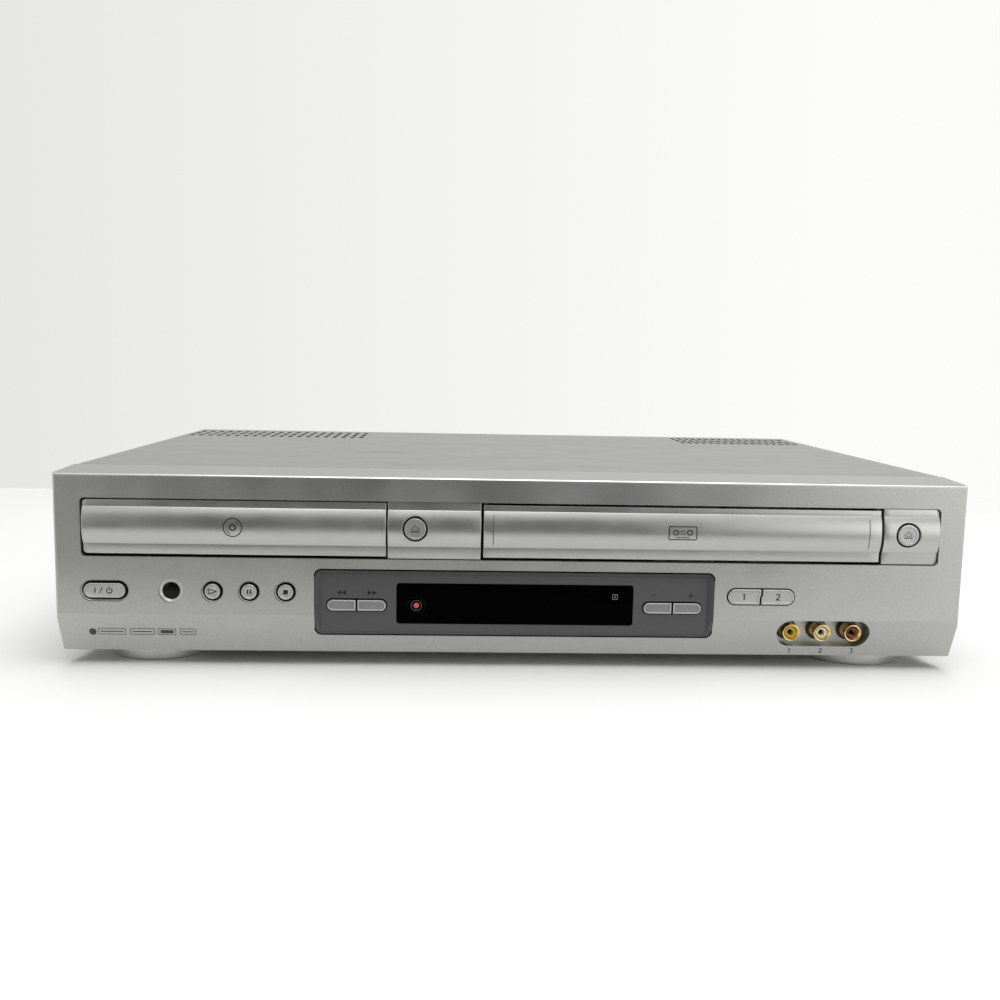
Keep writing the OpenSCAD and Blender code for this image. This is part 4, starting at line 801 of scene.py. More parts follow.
def dress(look: Look, *nodes: str, edge: float = 0.0, angle: float = 35.0, doubles: float = 2e-6) -> None:
    """Gives CAD nodes their finish, and a small bevel on their sharp edges.

    Args:
        look: Finish of the nodes.
        *nodes: Names of the nodes.
        edge: Width of the bevel in mm, or 0 for none.
        angle: Least angle between faces that gets a bevel.
        doubles: Distance in metres within which points are merged before the bevel.
    """
    for name in nodes:
        node = frame["nodes"][name]
        for slot in node.material_slots:
            slot.material = look.value.material()
        LOG.info("%s: CAD node with %s", name, look.value.name)
        if edge:
            merge = node.modifiers.new("weld", "WELD")
            merge.merge_threshold = doubles
            bevel = node.modifiers.new("soft_edges", "BEVEL")
            bevel.width = edge * MM
            bevel.segments = 2
            bevel.limit_method = "ANGLE"
            bevel.angle_limit = math.radians(angle)
            bevel.harden_normals = True
            bevel.use_clamp_overlap = True


# ---- prints


@dataclass(frozen=True)
class Mark:
    """Printed sign: flat shapes that lie on a surface.

    Attributes:
        name: Name of the piece.
        body: Body that carries it.
        shapes: Outlines around the sign's middle.
        x: Middle of the sign.
        z: Height of the middle.
        surface: Depth of the surface at a point, from its x and z around the sign's middle.
        look: Ink.
        lift: How far the print stands out of the surface.
        facing: 1 for a print seen from the front, -1 for one seen from the rear.
        sink: How far its back lies behind the surface.
    """

    name: str
    body: str
    shapes: Sequence[np.ndarray]
    x: float
    z: float
    surface: Surface
    look: Look = Look.INK
    lift: float = 0.04
    facing: int = 1
    sink: float = 0.06

    def build(self) -> None:
        """Each outline becomes a thin block between the surface and the lifted print.

        An outline with an even number of points is cut into four-sided steps from one of its long sides to
        the other, so that it can follow a curved surface.
        """
        blocks = []
        for shape in self.shapes:
            u, v = shape.T
            y = self.surface(u, v)
            front = np.column_stack([u + self.x, y - self.facing * self.lift, v + self.z])
            back = np.column_stack([u + self.x, y + self.facing * self.sink, v + self.z])
            count = len(shape)
            steps = [[i, i + 1, count - 2 - i, count - 1 - i] for i in range(count // 2 - 1)]
            blocks.append(thicken(front, back, [list(range(count))] if count % 2 else steps))
        piece(self.name, *join(*blocks), self.look, self.body, smooth=30)


def bar(start: Span, end: Span, width: float) -> np.ndarray:
    """Outline of a straight stroke with square ends.

    Args:
        start: Middle of one end.
        end: Middle of the other end.
        width: Width of the stroke.

    Returns:
        Its four corners.
    """
    a, b = np.array(start, float), np.array(end, float)
    along = (b - a) / np.linalg.norm(b - a)
    across = np.array([-along[1], along[0]]) * width / 2
    return np.array([a - across, b - across, b + across, a + across])


def bars(width: float, *strokes: tuple[float, float, float, float]) -> list[np.ndarray]:
    """Straight strokes of one width, each from the x and z of its start and those of its end."""
    return [bar((x0, z0), (x1, z1), width) for x0, z0, x1, z1 in strokes]


def frame_bars(across: Span, up: Span, width: float) -> list[np.ndarray]:
    """Two level and two upright strokes around a rectangle.

    Args:
        across: Half length of the level strokes, and their height above or below the middle.
        up: Distance of the upright strokes from the middle, and their half length.
        width: Width of the strokes.

    Returns:
        The outlines of the strokes.
    """
    (reach, z), (x, tall) = across, up
    return bars(width, (-reach, -z, reach, -z), (-reach, z, reach, z),
                (-x, -tall, -x, tall), (x, -tall, x, tall))


def arc(radius: float, width: float, first: float, last: float, count: int = 24) -> np.ndarray:
    """Outline of a stroke that follows a circle around the origin.

    Args:
        radius: Radius of the stroke's middle.
        width: Width of the stroke.
        first: Angle of its start in degrees.
        last: Angle of its end in degrees.
        count: Points along each side.

    Returns:
        Points of the inner side, then those of the outer side in reverse.
    """
    turn = np.radians(np.linspace(first, last, count))
    ring = np.stack([np.cos(turn), np.sin(turn)], -1)
    return np.vstack([ring * (radius - width / 2), ring[::-1] * (radius + width / 2)])


def crescent(line: np.ndarray, width: float, tip: float = 0.03) -> np.ndarray:
    """Outline of a stroke along one side of a line, its width a half wave from tip to tip.

    Args:
        line: Points of the line.
        width: Greatest width, over that of the tips.
        tip: Width at the tips.

    Returns:
        Points of the line, then those of the stroke's other side in reverse.
    """
    along = np.gradient(line, axis=0)
    along /= np.linalg.norm(along, axis=1)[:, None]
    across = np.column_stack([along[:, 1], -along[:, 0]])
    wide = tip + width * np.sin(np.linspace(0, np.pi, len(line)))
    return np.vstack([line, (line + across * wide[:, None])[::-1]])


# ---- case


@dataclass(frozen=True)
class VentField:
    """Field of slots in the cover.

    Attributes:
        first: Left edge of the first slot.
        pitch: Spacing of the slots.
        count: Slots in a row.
        width: Width of a slot.
    """

    first: float
    pitch: float
    count: int
    width: float = 2.6

    def edges(self) -> np.ndarray:
        """Left and right edges of all the slots of a row."""
        left = self.first + self.pitch * np.arange(self.count)
        return np.stack([left, left + self.width], -1)


@dataclass
class Cover:
    """Bent sheet with two fields of slots near its rear."""

    bend: float = 1.6
    sheet: float = 0.8
    slot_length: float = 13.0
    slot_rows: int = 3
    row_pitch: float = 17.5
    rear_margin: float = 13.0
    fields: tuple[VentField, VentField] = (VentField(-206.0, 5.9, 20), VentField(123.6, 4.8, 17))

    def path(self, half: float, bottom: float, top: float, across: np.ndarray) -> np.ndarray:
        """Section of the sheet: the left side, a quarter arc, the top, and the same down the right.

        Args:
            half: Half of the width.
            bottom: Lower edge of the sides.
            top: Height of the top.
            across: Places of the points on the top.

        Returns:
            For each point its x and z, then the x and z of its outward direction.
        """
        r = self.bend
        rise = np.linspace(bottom, top - r, 5)[:-1]
        turn = np.linspace(0, np.pi / 2, 7)
        cos, sin = np.cos(turn), np.sin(turn)
        side = np.column_stack([0 * rise - half, rise, 0 * rise - 1, 0 * rise])
        bend = np.column_stack([-half + r - r * cos, top - r + r * sin, -cos, sin])
        left = np.vstack([side, bend])
        flat = np.column_stack([across, 0 * across + top, 0 * across, 0 * across + 1])
        return np.vstack([left, flat, left[::-1] * [-1, 1, -1, 1]])

    def build(self) -> None:
        """Carries the section along y, leaves the slots out, and gives the sheet its thickness."""
        low, high = corners("top_cover")
        half, top = high[0], high[2]
        slots = np.vstack([vents.edges() for vents in self.fields])
        count = self.fields[0].count
        between = np.linspace(slots[count - 1, 1], slots[count, 0], 9)
        path = self.path(half, low[2], top, np.unique(np.concatenate([slots.ravel(), between])))
        starts = high[1] - self.rear_margin - self.slot_length - self.row_pitch * np.arange(self.slot_rows)
        ends = starts + self.slot_length
        rows = np.unique(np.concatenate([np.linspace(low[1], starts[-1], 9), starts, ends, [high[1]]]))

        def carried(line: np.ndarray) -> np.ndarray:
            """The section repeated at every row."""
            x, y = np.meshgrid(line[:, 0], rows)
            return np.stack([x, y, np.tile(line[:, 1], (len(rows), 1))], -1).reshape(-1, 3)

        x, y = (path[:-1, 0] + path[1:, 0]) / 2, (rows[:-1] + rows[1:]) / 2
        on_top = (path[:-1, 1] > top - 1e-6) & (path[1:, 1] > top - 1e-6)
        in_slot = ((x[:, None] > slots[:, 0]) & (x[:, None] < slots[:, 1])).any(1) & on_top
        in_row = ((y[:, None] > starts) & (y[:, None] < ends)).any(1)
        keep = ~(in_row[:, None] & in_slot[None, :])
        faces = quads(len(rows), len(path), around=False).reshape(len(rows) - 1, len(path) - 1, 4)[keep]
        inner = path[:, :2] - self.sheet * path[:, 2:]
        solid = thicken(carried(path), carried(inner), faces[:, ::-1].tolist())
        piece("cover_sheet", *solid, Look.COVER, node="top_cover", slot="cover_steel")


@dataclass
class Feet:
    """Two turned front feet: a disc with rounded rims under a narrower neck, and a rubber pad beneath."""

    radius: float = 26.0
    disc: float = 6.7
    edge: float = 1.4
    neck: float = 15.0
    beneath: tuple[Span, ...] = ((20.0, 0.5), (21.0, 0.0))  # radius and height
    pad: tuple[Span, ...] = ((0.01, 0.7), (19.4, 0.7), (19.4, 0.2), (19.0, 0.05), (15.4, 0.05), (15.0, 0.3),
                             (0.01, 0.3))
    around: int = 96

    def build(self) -> None:
        """Builds both discs from one profile, and both pads from another."""
        low, high = corners("front_feet")
        x, y = high[0] - self.radius, (low[1] + high[1]) / 2
        e, r = self.edge, self.radius
        turn = np.linspace(0, np.pi / 2, 6)
        lower = [(r - e + e * math.sin(t), e - e * math.cos(t)) for t in turn]
        upper = [(r - e / 2 + e / 2 * math.cos(t), self.disc - e / 2 + e / 2 * math.sin(t)) for t in turn]
        disc = [*self.beneath, *lower, *upper, (self.neck, self.disc), (self.neck, high[2])]

        def pair(line: Sequence[Span]) -> Shape:
            """One profile turned around the middles of both feet."""
            return join(*(lathe(Axis.Z, (side * x, y, 0.0), line, self.around) for side in (-1, 1)))

        piece("front_foot_discs", *pair(disc), Look.FOOT, node="front_feet", slot="foot_plastic")
        piece("foot_pads", *pair(self.pad), Look.RUBBER)


@dataclass(frozen=True)
class ScrewHead:
    """Pan head with a cross recess."""

    radius: float = 3.2
    height: float = 1.75
    fall: float = 0.9
    cross_half: float = 0.42
    cross_reach: float = 1.75
    cross_deep: float = 0.9
    rings: tuple[float, ...] = (0.0001, 0.35, 0.5, 0.8, 1.2, 1.6, 1.9, 2.4, 2.9)
    around: int = 48

    def shape(self, place: np.ndarray, right: np.ndarray, up: np.ndarray, out: np.ndarray) -> Shape:
        """Dome over polar rings, which falls with the cube of the radius and is sunk where the cross lies.

        Args:
            place: Middle of the head on the sheet.
            right: Direction to its right.
            up: Direction up along the sheet.
            out: Direction out of the sheet.

        Returns:
            Points and faces.
        """
        ring = circle(1.0, self.around)
        radii = np.array([*self.rings, self.radius])
        u, v = np.outer(radii, ring[:, 0]), np.outer(radii, ring[:, 1])
        dome = self.height - self.fall * (radii[:, None] / self.radius) ** 3 + 0 * u
        arms = np.minimum(abs(u), abs(v)) < self.cross_half
        cross = (arms & (np.hypot(u, v) < self.cross_reach)).astype(float)
        head = np.stack([u, v, dome - self.cross_deep * cross], -1)
        skirt = np.column_stack([ring * self.radius, 0 * ring[:, 0]])[None]
        local = np.concatenate([head, skirt])
        return stack(place + local @ np.stack([right, up, out]))


@dataclass
class Case:
    """Front moulding, cover, base, rear panel, feet and screws."""

    frames: tuple = ((-24.0, 52.0, 25.0, 17.5), (150.0, 52.0, 26.0, 11.0))  # middle, half sizes
    frame_corner: float = 2.0
    frame_line: float = 0.45
    arrow: tuple[Span, ...] = ((-1.2, 0.0), (1.2, 0.0), (0.0, -2.0))
    arrow_in: float = 4.0  # from the frame's end
    arrow_up: float = 3.4  # over the frame
    pressed: tuple = ((-95.0, 160.0, 70.0, 62.0), (95.0, 160.0, 80.0, 62.0))  # middle, half sizes
    press_corner: float = 6.0
    press_steps: tuple[Span, ...] = ((0.0, -0.05), (0.0, 0.0), (0.5, 0.6), (1.3, 1.2), (2.4, 1.4))  # in, down
    screw_x: float = 211.0
    screw_sides: Span = (62.0, 236.0)
    screw_rear: tuple[float, ...] = (-150.0, 0.0, 150.0)
    screw_in: float = 1.8
    screw_base: tuple[Span, ...] = ((-196.0, 90.0), (196.0, 90.0), (-100.0, 60.0), (100.0, 60.0),
                                    (-60.0, 265.0), (60.0, 265.0))

    def build(self) -> None:
        """Builds and dresses every piece of the case."""
        dress(Look.FRONT, "fascia", edge=0.35)
        dress(Look.SHEET, "base_chassis", "rear_panel")
        dress(Look.RUBBER, "rear_feet", edge=0.6)
        self.rear_print()
        Cover().build()
        Feet().build()
        self.pressings()
        self.screws()

    def rear_print(self) -> None:
        """Frames and arrows printed around the sockets of the rear panel."""
        shapes = []
        for x, z, half_w, half_h in self.frames:
            outer = rounded(half_w, half_h, [self.frame_corner] * 4, 8)
            inner = outset(outer, -self.frame_line)
            shapes.append(np.vstack([outer, outer[:1], inner[:1], inner[::-1]]) + [x, z])
            for place in (self.arrow_in - half_w, half_w - self.arrow_in):
                shapes.append(np.array(self.arrow) + [x + place, z + half_h + self.arrow_up])
        depth = level(float(corners("rear_panel")[1][1]))
        Mark("rear_print", "case", shapes, 0.0, 0.0, depth, facing=-1).build()

    def pressings(self) -> None:
        """Stiffening panels pressed out of the base: rounded outlines, each ring drawn in as it goes down."""
        under = corners("base_chassis")[0][2]
        panels = []
        for x, y, half_x, half_y in self.pressed:
            rings = []
            for inset, down in self.press_steps:
                radii = [self.press_corner - inset] * 4
                outline = rounded(half_x - inset, half_y - inset, radii, 10) + [x, y]
                rings.append(np.column_stack([outline, np.full(len(outline), under - down)]))
            panels.append(stack(np.array(rings)))
        piece("base_pressings", *join(*panels), Look.SHEET)

    def screws(self) -> None:
        """Screw heads in the sides and rear of the cover, and under the base."""
        low, high = corners("cover_screws")
        z, rear = (low[2] + high[2]) / 2, high[1] - self.screw_in
        under = corners("base_chassis")[0][2]
        head = ScrewHead().shape
        x_axis, y_axis, z_axis = np.eye(3)
        heads = [head(np.array([side * self.screw_x, y, z]), side * y_axis, z_axis, side * x_axis)
                 for side in (-1, 1) for y in self.screw_sides]
        heads += [head(np.array([x, rear, z]), -x_axis, z_axis, y_axis) for x in self.screw_rear]
        below = [head(np.array([x, y, under]), x_axis, -y_axis, -z_axis) for x, y in self.screw_base]
        piece("screw_heads", *join(*heads), Look.NICKEL, smooth=50, node="cover_screws", slot="plated_steel")
        piece("base_screws", *join(*below), Look.NICKEL, smooth=50)


# ---- band


@dataclass(frozen=True)
class BandPiece:
    """One front of the band: flat strips above and below a round bulge.

    Attributes:
        node: CAD node that it replaces.
        body: Body that carries it.
        left: Its left end.
        right: Its right end.
        bottom: Its lower edge.
        top: Its upper edge.
        back: Depth of its back.
        left_radius: Radius of its two left corners.
        right_radius: Radius of its two right corners.
        hole: Middle of the round hole for a button, if it has one.
        grooves: Places of upright grooves in the bulge.
    """

    node: str
    body: str
    left: float
    right: float
    bottom: float
    top: float
    back: float
    left_radius: float = 0.0
    right_radius: float = 0.0
    hole: Optional[Span] = None
    grooves: tuple[float, ...] = ()

    strip: float = 1.2  # depth of the flat strips
    crest: float = -1.2  # depth of the bulge's middle
    bulge_bottom: float = 59.0
    bulge_top: float = 76.6
    step: float = 0.35
    step_width: float = 0.12
    edge: float = 0.3
    hole_radius: float = 5.9
    patch: float = 8.4  # half of the square around the hole
    patch_steps: int = 16
    groove_half: float = 0.25
    groove_deep: float = 0.5
    groove_margin: float = 1.8
    groove_end: float = 0.02
    bulge_margin: float = 0.7

    def section(self, z: np.ndarray) -> np.ndarray:
        """Depth at a height: an arc between the bulge's edges, a small step down to the strips beyond.

        Args:
            z: Heights.

        Returns:
            Depths. The arc's radius follows from its half chord h and its rise s as (h^2 + s^2) / 2s.
        """
        half, middle = (self.bulge_top - self.bulge_bottom) / 2, (self.bulge_top + self.bulge_bottom) / 2
        rise = self.strip - self.step - self.crest
        radius = (half ** 2 + rise ** 2) / (2 * rise)
        away = np.abs(z - middle)
        bulge = self.crest + radius - np.sqrt(radius ** 2 - np.minimum(away, half) ** 2)
        down = np.clip((away - half + self.step_width) / self.step_width, 0, 1)
        return bulge + (self.strip - bulge) * down ** 2

    def inside(self, x: np.ndarray, z: np.ndarray) -> np.ndarray:
        """Distance from a point to the outline, a rectangle with round corners.

        Args:
            x: Places of the points.
            z: Their heights.

        Returns:
            Distances, positive within the outline.
        """
        cx, cz = (self.left + self.right) / 2, (self.bottom + self.top) / 2
        radius = np.where(x < cx, self.left_radius, self.right_radius)
        qx = np.abs(x - cx) - (self.right - self.left) / 2 + radius
        qz = np.abs(z - cz) - (self.top - self.bottom) / 2 + radius
        outside = np.hypot(np.maximum(qx, 0), np.maximum(qz, 0)) + np.minimum(np.maximum(qx, qz), 0)
        return radius - outside

    def rounding(self, distance: np.ndarray) -> np.ndarray:
        """How far a quarter-round edge falls back at a distance from it."""
        near = self.edge - np.clip(distance, 0, self.edge)
        return self.edge - np.sqrt(self.edge ** 2 - near ** 2)

    def groove_ends(self) -> Span:
        """Lower and upper end of the grooves."""
        return self.bulge_bottom + self.groove_margin, self.bulge_top - self.groove_margin

    def front(self, x: np.ndarray, z: np.ndarray) -> np.ndarray:
        """Depth of the front: the section, the roundings at the outline and the hole, and half-round grooves.

        Args:
            x: Places of the points.
            z: Their heights.

        Returns:
            Depths.
        """
        y = self.section(z) + self.rounding(self.inside(x, z))
        if self.hole:
            y = y + self.rounding(np.hypot(x - self.hole[0], z - self.hole[1]) - self.hole_radius)
        low, high = self.groove_ends()
        for place in self.grooves:
            near = np.clip(1 - np.abs(x - place) / self.groove_half, 0, 1)
            y = y + self.groove_deep * np.sqrt(near) * ((z > low) & (z < high))
        return y

    def lines(self) -> tuple[np.ndarray, np.ndarray]:
        """Lines of the grid, close together where the shape turns.

        Returns:
            Places of the upright lines and heights of the level ones.
        """
        close = self.edge * np.array([0, 0.05, 0.2, 0.5, 1.0])
        turn = np.linspace(0, np.pi / 2, 9)
        x = [self.left + close, self.right - close]
        for radius, end, sign in ((self.left_radius, self.left, 1), (self.right_radius, self.right, -1)):
            if radius:
                x.append(end + sign * radius * (1 - np.cos(turn)))
        for place in self.grooves:
            x.append(place + self.groove_half * np.array([-1, -0.98, -0.7, -0.3, 0, 0.3, 0.7, 0.98, 1]))
        small = np.array([-0.1, 0, 0.04, 0.08, 0.12, 0.3])
        z = [self.bottom + close, self.top - close, self.bulge_bottom + small, self.bulge_top - small]
        if self.hole:
            side = np.linspace(-self.patch, self.patch, self.patch_steps + 1)
            x.append(self.hole[0] + side)
            z.append(self.hole[1] + side)
        else:
            low, high = self.bulge_bottom + self.bulge_margin, self.bulge_top - self.bulge_margin
            z.append(np.linspace(low, high, 23))
        if self.grooves:
            low, high = self.groove_ends()
            z.append(np.array([low, low + self.groove_end, high - self.groove_end, high]))
        return np.unique(np.round(np.concatenate(x), 4)), np.unique(np.round(np.concatenate(z), 4))

    def grid(self) -> Shape:
        """Grid of the front; near round corners its outer lines are drawn in to the outline.

        Returns:
            Points at depth 0 and faces, without the patch around a hole.
        """
        x, z = self.lines()
        gx, gz = np.meshgrid(x, z, indexing="xy")
        for radius, inward in ((self.left_radius, gx - self.left), (self.right_radius, self.right - gx)):
            if radius:
                fall = radius - np.sqrt(np.maximum(radius ** 2 - (radius - inward) ** 2, 0))
                lift = np.where(inward < radius, fall, 0)
                gz = np.clip(gz, self.bottom + lift, self.top - lift)
        faces = quads(len(z), len(x), around=False)
        if self.hole:
            middle_x, middle_z = gx.reshape(-1)[faces].mean(1), gz.reshape(-1)[faces].mean(1)
            out = (abs(middle_x - self.hole[0]) > self.patch) | (abs(middle_z - self.hole[1]) > self.patch)
            faces = faces[out]
        points = np.stack([gx, 0 * gx, gz], -1).reshape(-1, 3)
        return points, faces.tolist()

    def ring(self) -> Shape:
        """Rings from the round hole out to the square patch that the grid leaves free.

        Returns:
            Points at depth 0 and faces.
        """
        side = np.linspace(-self.patch, self.patch, self.patch_steps + 1)[:-1]
        full = np.full(self.patch_steps, self.patch)
        square = np.vstack([np.column_stack([side, -full]), np.column_stack([full, side]),
                            np.column_stack([-side, full]), np.column_stack([-full, -side])])
        hole = square / np.linalg.norm(square, axis=1, keepdims=True) * self.hole_radius
        way = np.array([0, 0.006, 0.025, 0.06, 0.12, 0.3, 0.6, 1.0])[:, None, None]
        plan = hole * (1 - way) + square * way + np.array(self.hole)
        points, faces = stack(np.stack([plan[..., 0], 0 * plan[..., 0], plan[..., 1]], -1), capped=False)
        return points, [face[::-1] for face in faces]

    def build(self) -> None:
        """Front from grid and ring, at its true depth, made solid back to its flat back."""
        points, faces = weld(*(join(self.grid(), self.ring()) if self.hole else self.grid()))
        front, back = points.copy(), points.copy()
        front[:, 1] = self.front(points[:, 0], points[:, 2])
        back[:, 1] = self.back
        piece(self.node + "_front", *thicken(front, back, faces), Look.BAND, self.body, smooth=40,
              node=self.node, slot="band_plastic")


@dataclass
class Band:
    """Tray front, cassette door and the two fixed panels, from left to right."""

    low: float = 53.0
    high: float = 80.5
    seam: float = 0.3
    sill: float = 1.2
    lid: float = 0.8
    radius: float = 2.0
    panel_back: float = 3.2
    lid_back: float = 4.2
    eject_z: float = 67.8
    tray: Span = (-202.0, -61.6)
    disc_panel: Span = (-60.8, -17.0)
    door: Span = (-15.8, 174.2)
    tape_panel: Span = (175.4, 202.5)
    eject_x: Span = (-47.9, 187.1)
    grooves: Span = (4.6, 5.9)  # from the door's ends
    hinge: Span = (4.2, 82.3)  # depth, height
    ear_x: Span = (0.1, 1.9)  # out of the door's end
    ear_y: Span = (2.9, 0.4)  # depth of its front, reach beyond the axis
    ear_z: float = 77.0
    ear_edge: float = 0.2
    knuckle: tuple[Span, ...] = ((1.1, 0.1), (1.3, 0.3), (1.3, 1.8), (1.1, 2.0))  # radius, out of the end
    pin: tuple[Span, ...] = ((0.7, -3.4), (0.9, -3.2), (0.9, 1.0))

    def build(self) -> None:
        """Builds the four fronts and the hinges of the door."""
        low, high, r = self.low, self.high, self.radius
        fixed = (low + self.seam, high - self.seam, self.panel_back)
        holes = [(x, self.eject_z) for x in self.eject_x]
        grooves = (self.door[0] + self.grooves[0], self.door[1] - self.grooves[1])
        BandPiece("tray_front", "tray", *self.tray, low + self.sill, high - self.lid, self.lid_back,
                  left_radius=r).build()
        BandPiece("disc_eject_panel", "case", *self.disc_panel, *fixed, hole=holes[0]).build()
        BandPiece("cassette_door", "door", *self.door, low + self.sill, high - self.sill, self.lid_back,
                  grooves=grooves).build()
        BandPiece("tape_eject_panel", "case", *self.tape_panel, *fixed, right_radius=r, hole=holes[1]).build()
        self.hinges()

    def hinges(self) -> None:
        """Knuckles on ears at both ends of the door, with a pin through each."""
        y, z = self.hinge
        parts = []
        for end, side in zip(self.door, (1, -1)):
            for profile in (self.knuckle, self.pin):
                turned = [(radius, place * side) for radius, place in profile]
                parts.append(lathe(Axis.X, (end, y, z), turned, 32))
            ends = sorted(end + x * side for x in self.ear_x)
            parts.append(box(ends, (self.ear_y[0], y + self.ear_y[1]), (self.ear_z, z), self.ear_edge))
        piece("door_hinges", *join(*parts), Look.GREY, "door")


# ---- buttons


class Outline(Enum):
    """Shape of a cap seen from the front."""

    ROUND = "round"
    PILL = "pill"
    LEFT_HALF = "left half of a pill"
    RIGHT_HALF = "right half of a pill"


@dataclass(frozen=True)
class Cap:
    """One push button.

    Attributes:
        node: CAD node and body of the button.
        outline: Shape seen from the front.
        x: Middle of the cap, or of the whole pair.
        z: Height of the middle.
        width: Width of the cap, or of the whole pair.
        height: Height of the cap.
        front: Depth of the cap's rim behind the front plane.
        wall: Depth of the wall behind which its flange lies.
        look: Finish of the cap.
        land: Width of the flat ring around the dish.
        jog: How far the inner end of a half steps sideways around its middle.
        slot: Material slot of the cap.
    """

    node: str
    outline: Outline
    x: float
    z: float
    width: float
    height: float
    front: float
    wall: float
    look: Look = Look.CAP
    land: float = 0.5
    jog: float = 0.0
    slot: str = "button_plastic"

    dish: float = 0.06  # extra depth in the middle of a round face
    gap: float = 0.8
    edge: float = 0.35
    slope: float = 0.22
    sunk: float = 0.42
    flange: float = 1.2
    flange_depth: float = 1.0
    flange_gap: float = 0.1
    seam: float = 0.3
    stem: float = 1.3
    stem_end: float = 14.3
    painted: float = 0.8  # how far back from the rim the skirt and flange turn black: painted shade in the gap
    painted_rim: float = 0.12  # how far back from the rim the painted highlight, lighter paint on a cap in the dark panel, reaches
    corner: float = 0.35
    jog_reach: float = 0.8
    jog_rise: float = 0.4
    jog_turn: float = 0.35
    steps: int = 16

    @property
    def side(self) -> int:
        """-1 for the left half of a pair, 1 for the right half, 0 for a single cap."""
        return {Outline.LEFT_HALF: -1, Outline.RIGHT_HALF: 1}.get(self.outline, 0)

    @property
    def middle(self) -> float:
        """Place of the cap's own middle."""
        return self.x + self.side * (self.width + self.gap) / 4

    @property
    def face(self) -> float:
        """Half of the height of the dish, within rim and slope."""
        return self.height / 2 - self.edge - self.land - self.slope

    def plan(self, inset: float = 0.0) -> np.ndarray:
        """Outline around the cap's middle; the inner end of a half steps sideways by a steep S-curve.

        Args:
            inset: How far the outline is drawn in.

        Returns:
            Points in x and z.
        """
        big = self.height / 2 - inset
        if not self.side:
            return rounded(self.width / 2 - inset, big, [big] * 4, self.steps)
        small = max(self.corner - inset, 0.05)
        radii = [big, small, small, big] if self.side > 0 else [small, big, big, small]
        end = (self.width - self.gap) / 4 - inset
        line = np.linspace(-1, 1, 13)[1:-1] * (big - small)
        inner = np.column_stack([np.full(len(line), -self.side * end), -self.side * line])
        place = 2 * self.steps if self.side > 0 else 4 * self.steps
        outline = np.insert(rounded(end, big, radii, self.steps), place, inner, axis=0)
        near = np.clip(1 - np.abs(outline[:, 0] + self.side * end) / self.jog_reach, 0, 1)
        outline[:, 0] += self.jog * near * np.tanh((outline[:, 1] - self.jog_rise) / self.jog_turn)
        return outline

    def floor(self, out: np.ndarray) -> np.ndarray:
        """Depth of a round face for a share of the way from its middle to its rim, a parabola."""
        return self.front + self.sunk + self.dish * (1 - np.clip(out, 0, 1) ** 2)

    def outlines(self) -> list[tuple[np.ndarray, float]]:
        """Outlines and depths from the stem over flange, skirt and rim down into the face.

        Returns:
            Pairs of an outline and its depth.
        """
        outline = self.plan()
        start = np.arctan2(outline[0, 1], outline[0, 0])
        turn = start + np.linspace(0, 2 * np.pi, len(outline), endpoint=False)
        stem = self.stem * np.column_stack([np.cos(turn), np.sin(turn)]) - [self.side * self.gap / 4, 0]
        near, far = self.wall + self.seam, self.wall + self.seam + self.flange_depth
        wide = self.plan(-self.flange)
        if self.side:
            limit = (self.width + self.gap) / 4 - self.flange_gap
            wide[:, 0] = -self.side * np.minimum(-self.side * wide[:, 0], limit)
        rings = [(stem, self.stem_end), (stem, far), (wide, far), (wide, near), (outline, near)]
        for t in np.linspace(0, np.pi / 2, 6):
            depth = self.front + self.edge * (1 - math.sin(t))
            rings.append((self.plan(self.edge * (1 - math.cos(t))), depth))
        inner = self.edge + self.land
        for way, sink in ((0.0, 0.0), (0.3, 0.25), (0.7, 0.85), (1.0, 1.0), (1.5, 1.0)):
            rings.append((self.plan(inner + self.slope * way), self.front + self.sunk * sink))
        if self.outline is Outline.ROUND:
            last, shares = rings[-1][0], np.linspace(0.85, 0.05, 6)
            rings += [(last * share, float(self.floor(share))) for share in shares]
        return rings

    def build(self) -> None:
        """Cap from its outlines: painted in front, with black on skirt and flange as painted shade in the
        gap, and lighter paint on the rim of a cap in the dark panel as a painted highlight.
        """
        cap = piece(self.node + "_cap", *stacked(self.outlines(), self.middle, self.z), self.look, self.node,
                    smooth=40, node=self.node, slot=self.slot)
        # Black second material on skirt and flange: painted shade in the gap around the cap.
        cap.data.materials.append(Look.BLACK.value.material())
        depth = np.array([polygon.center.y for polygon in cap.data.polygons]) / MM - FRONT_Y
        finish = (depth > self.front + self.painted).astype(np.int32)
        if self.look is Look.PANEL_CAP:
            # Lighter cap paint on the rim of a cap in the dark panel: a painted highlight.
            cap.data.materials.append(Look.CAP.value.material())
            finish[depth < self.front + self.painted_rim] = 2
        cap.data.polygons.foreach_set("material_index", finish)


# Triangle that points right, about 2 high.
TRIANGLE = np.array([[-0.9, -1.0], [0.95, 0.0], [-0.9, 1.0]])


def outlined(triangle: np.ndarray, width: float) -> list[np.ndarray]:
    """Strokes along the three sides of a triangle."""
    return [bar(triangle[i], triangle[(i + 1) % 3], width) for i in range(3)]


def upright(x: float, half: float, width: float, count: int = 12) -> np.ndarray:
    """Outline of an upright stroke with enough points to follow a curved surface.

    Args:
        x: Place of its middle.
        half: Half of its length.
        width: Its width.
        count: Points along each side.

    Returns:
        Points of the left side, then those of the right side in reverse.
    """
    z = np.linspace(-half, half, count)
    return np.vstack([np.column_stack([np.full(count, x - width / 2), z]),
                      np.column_stack([np.full(count, x + width / 2), z[::-1]])])


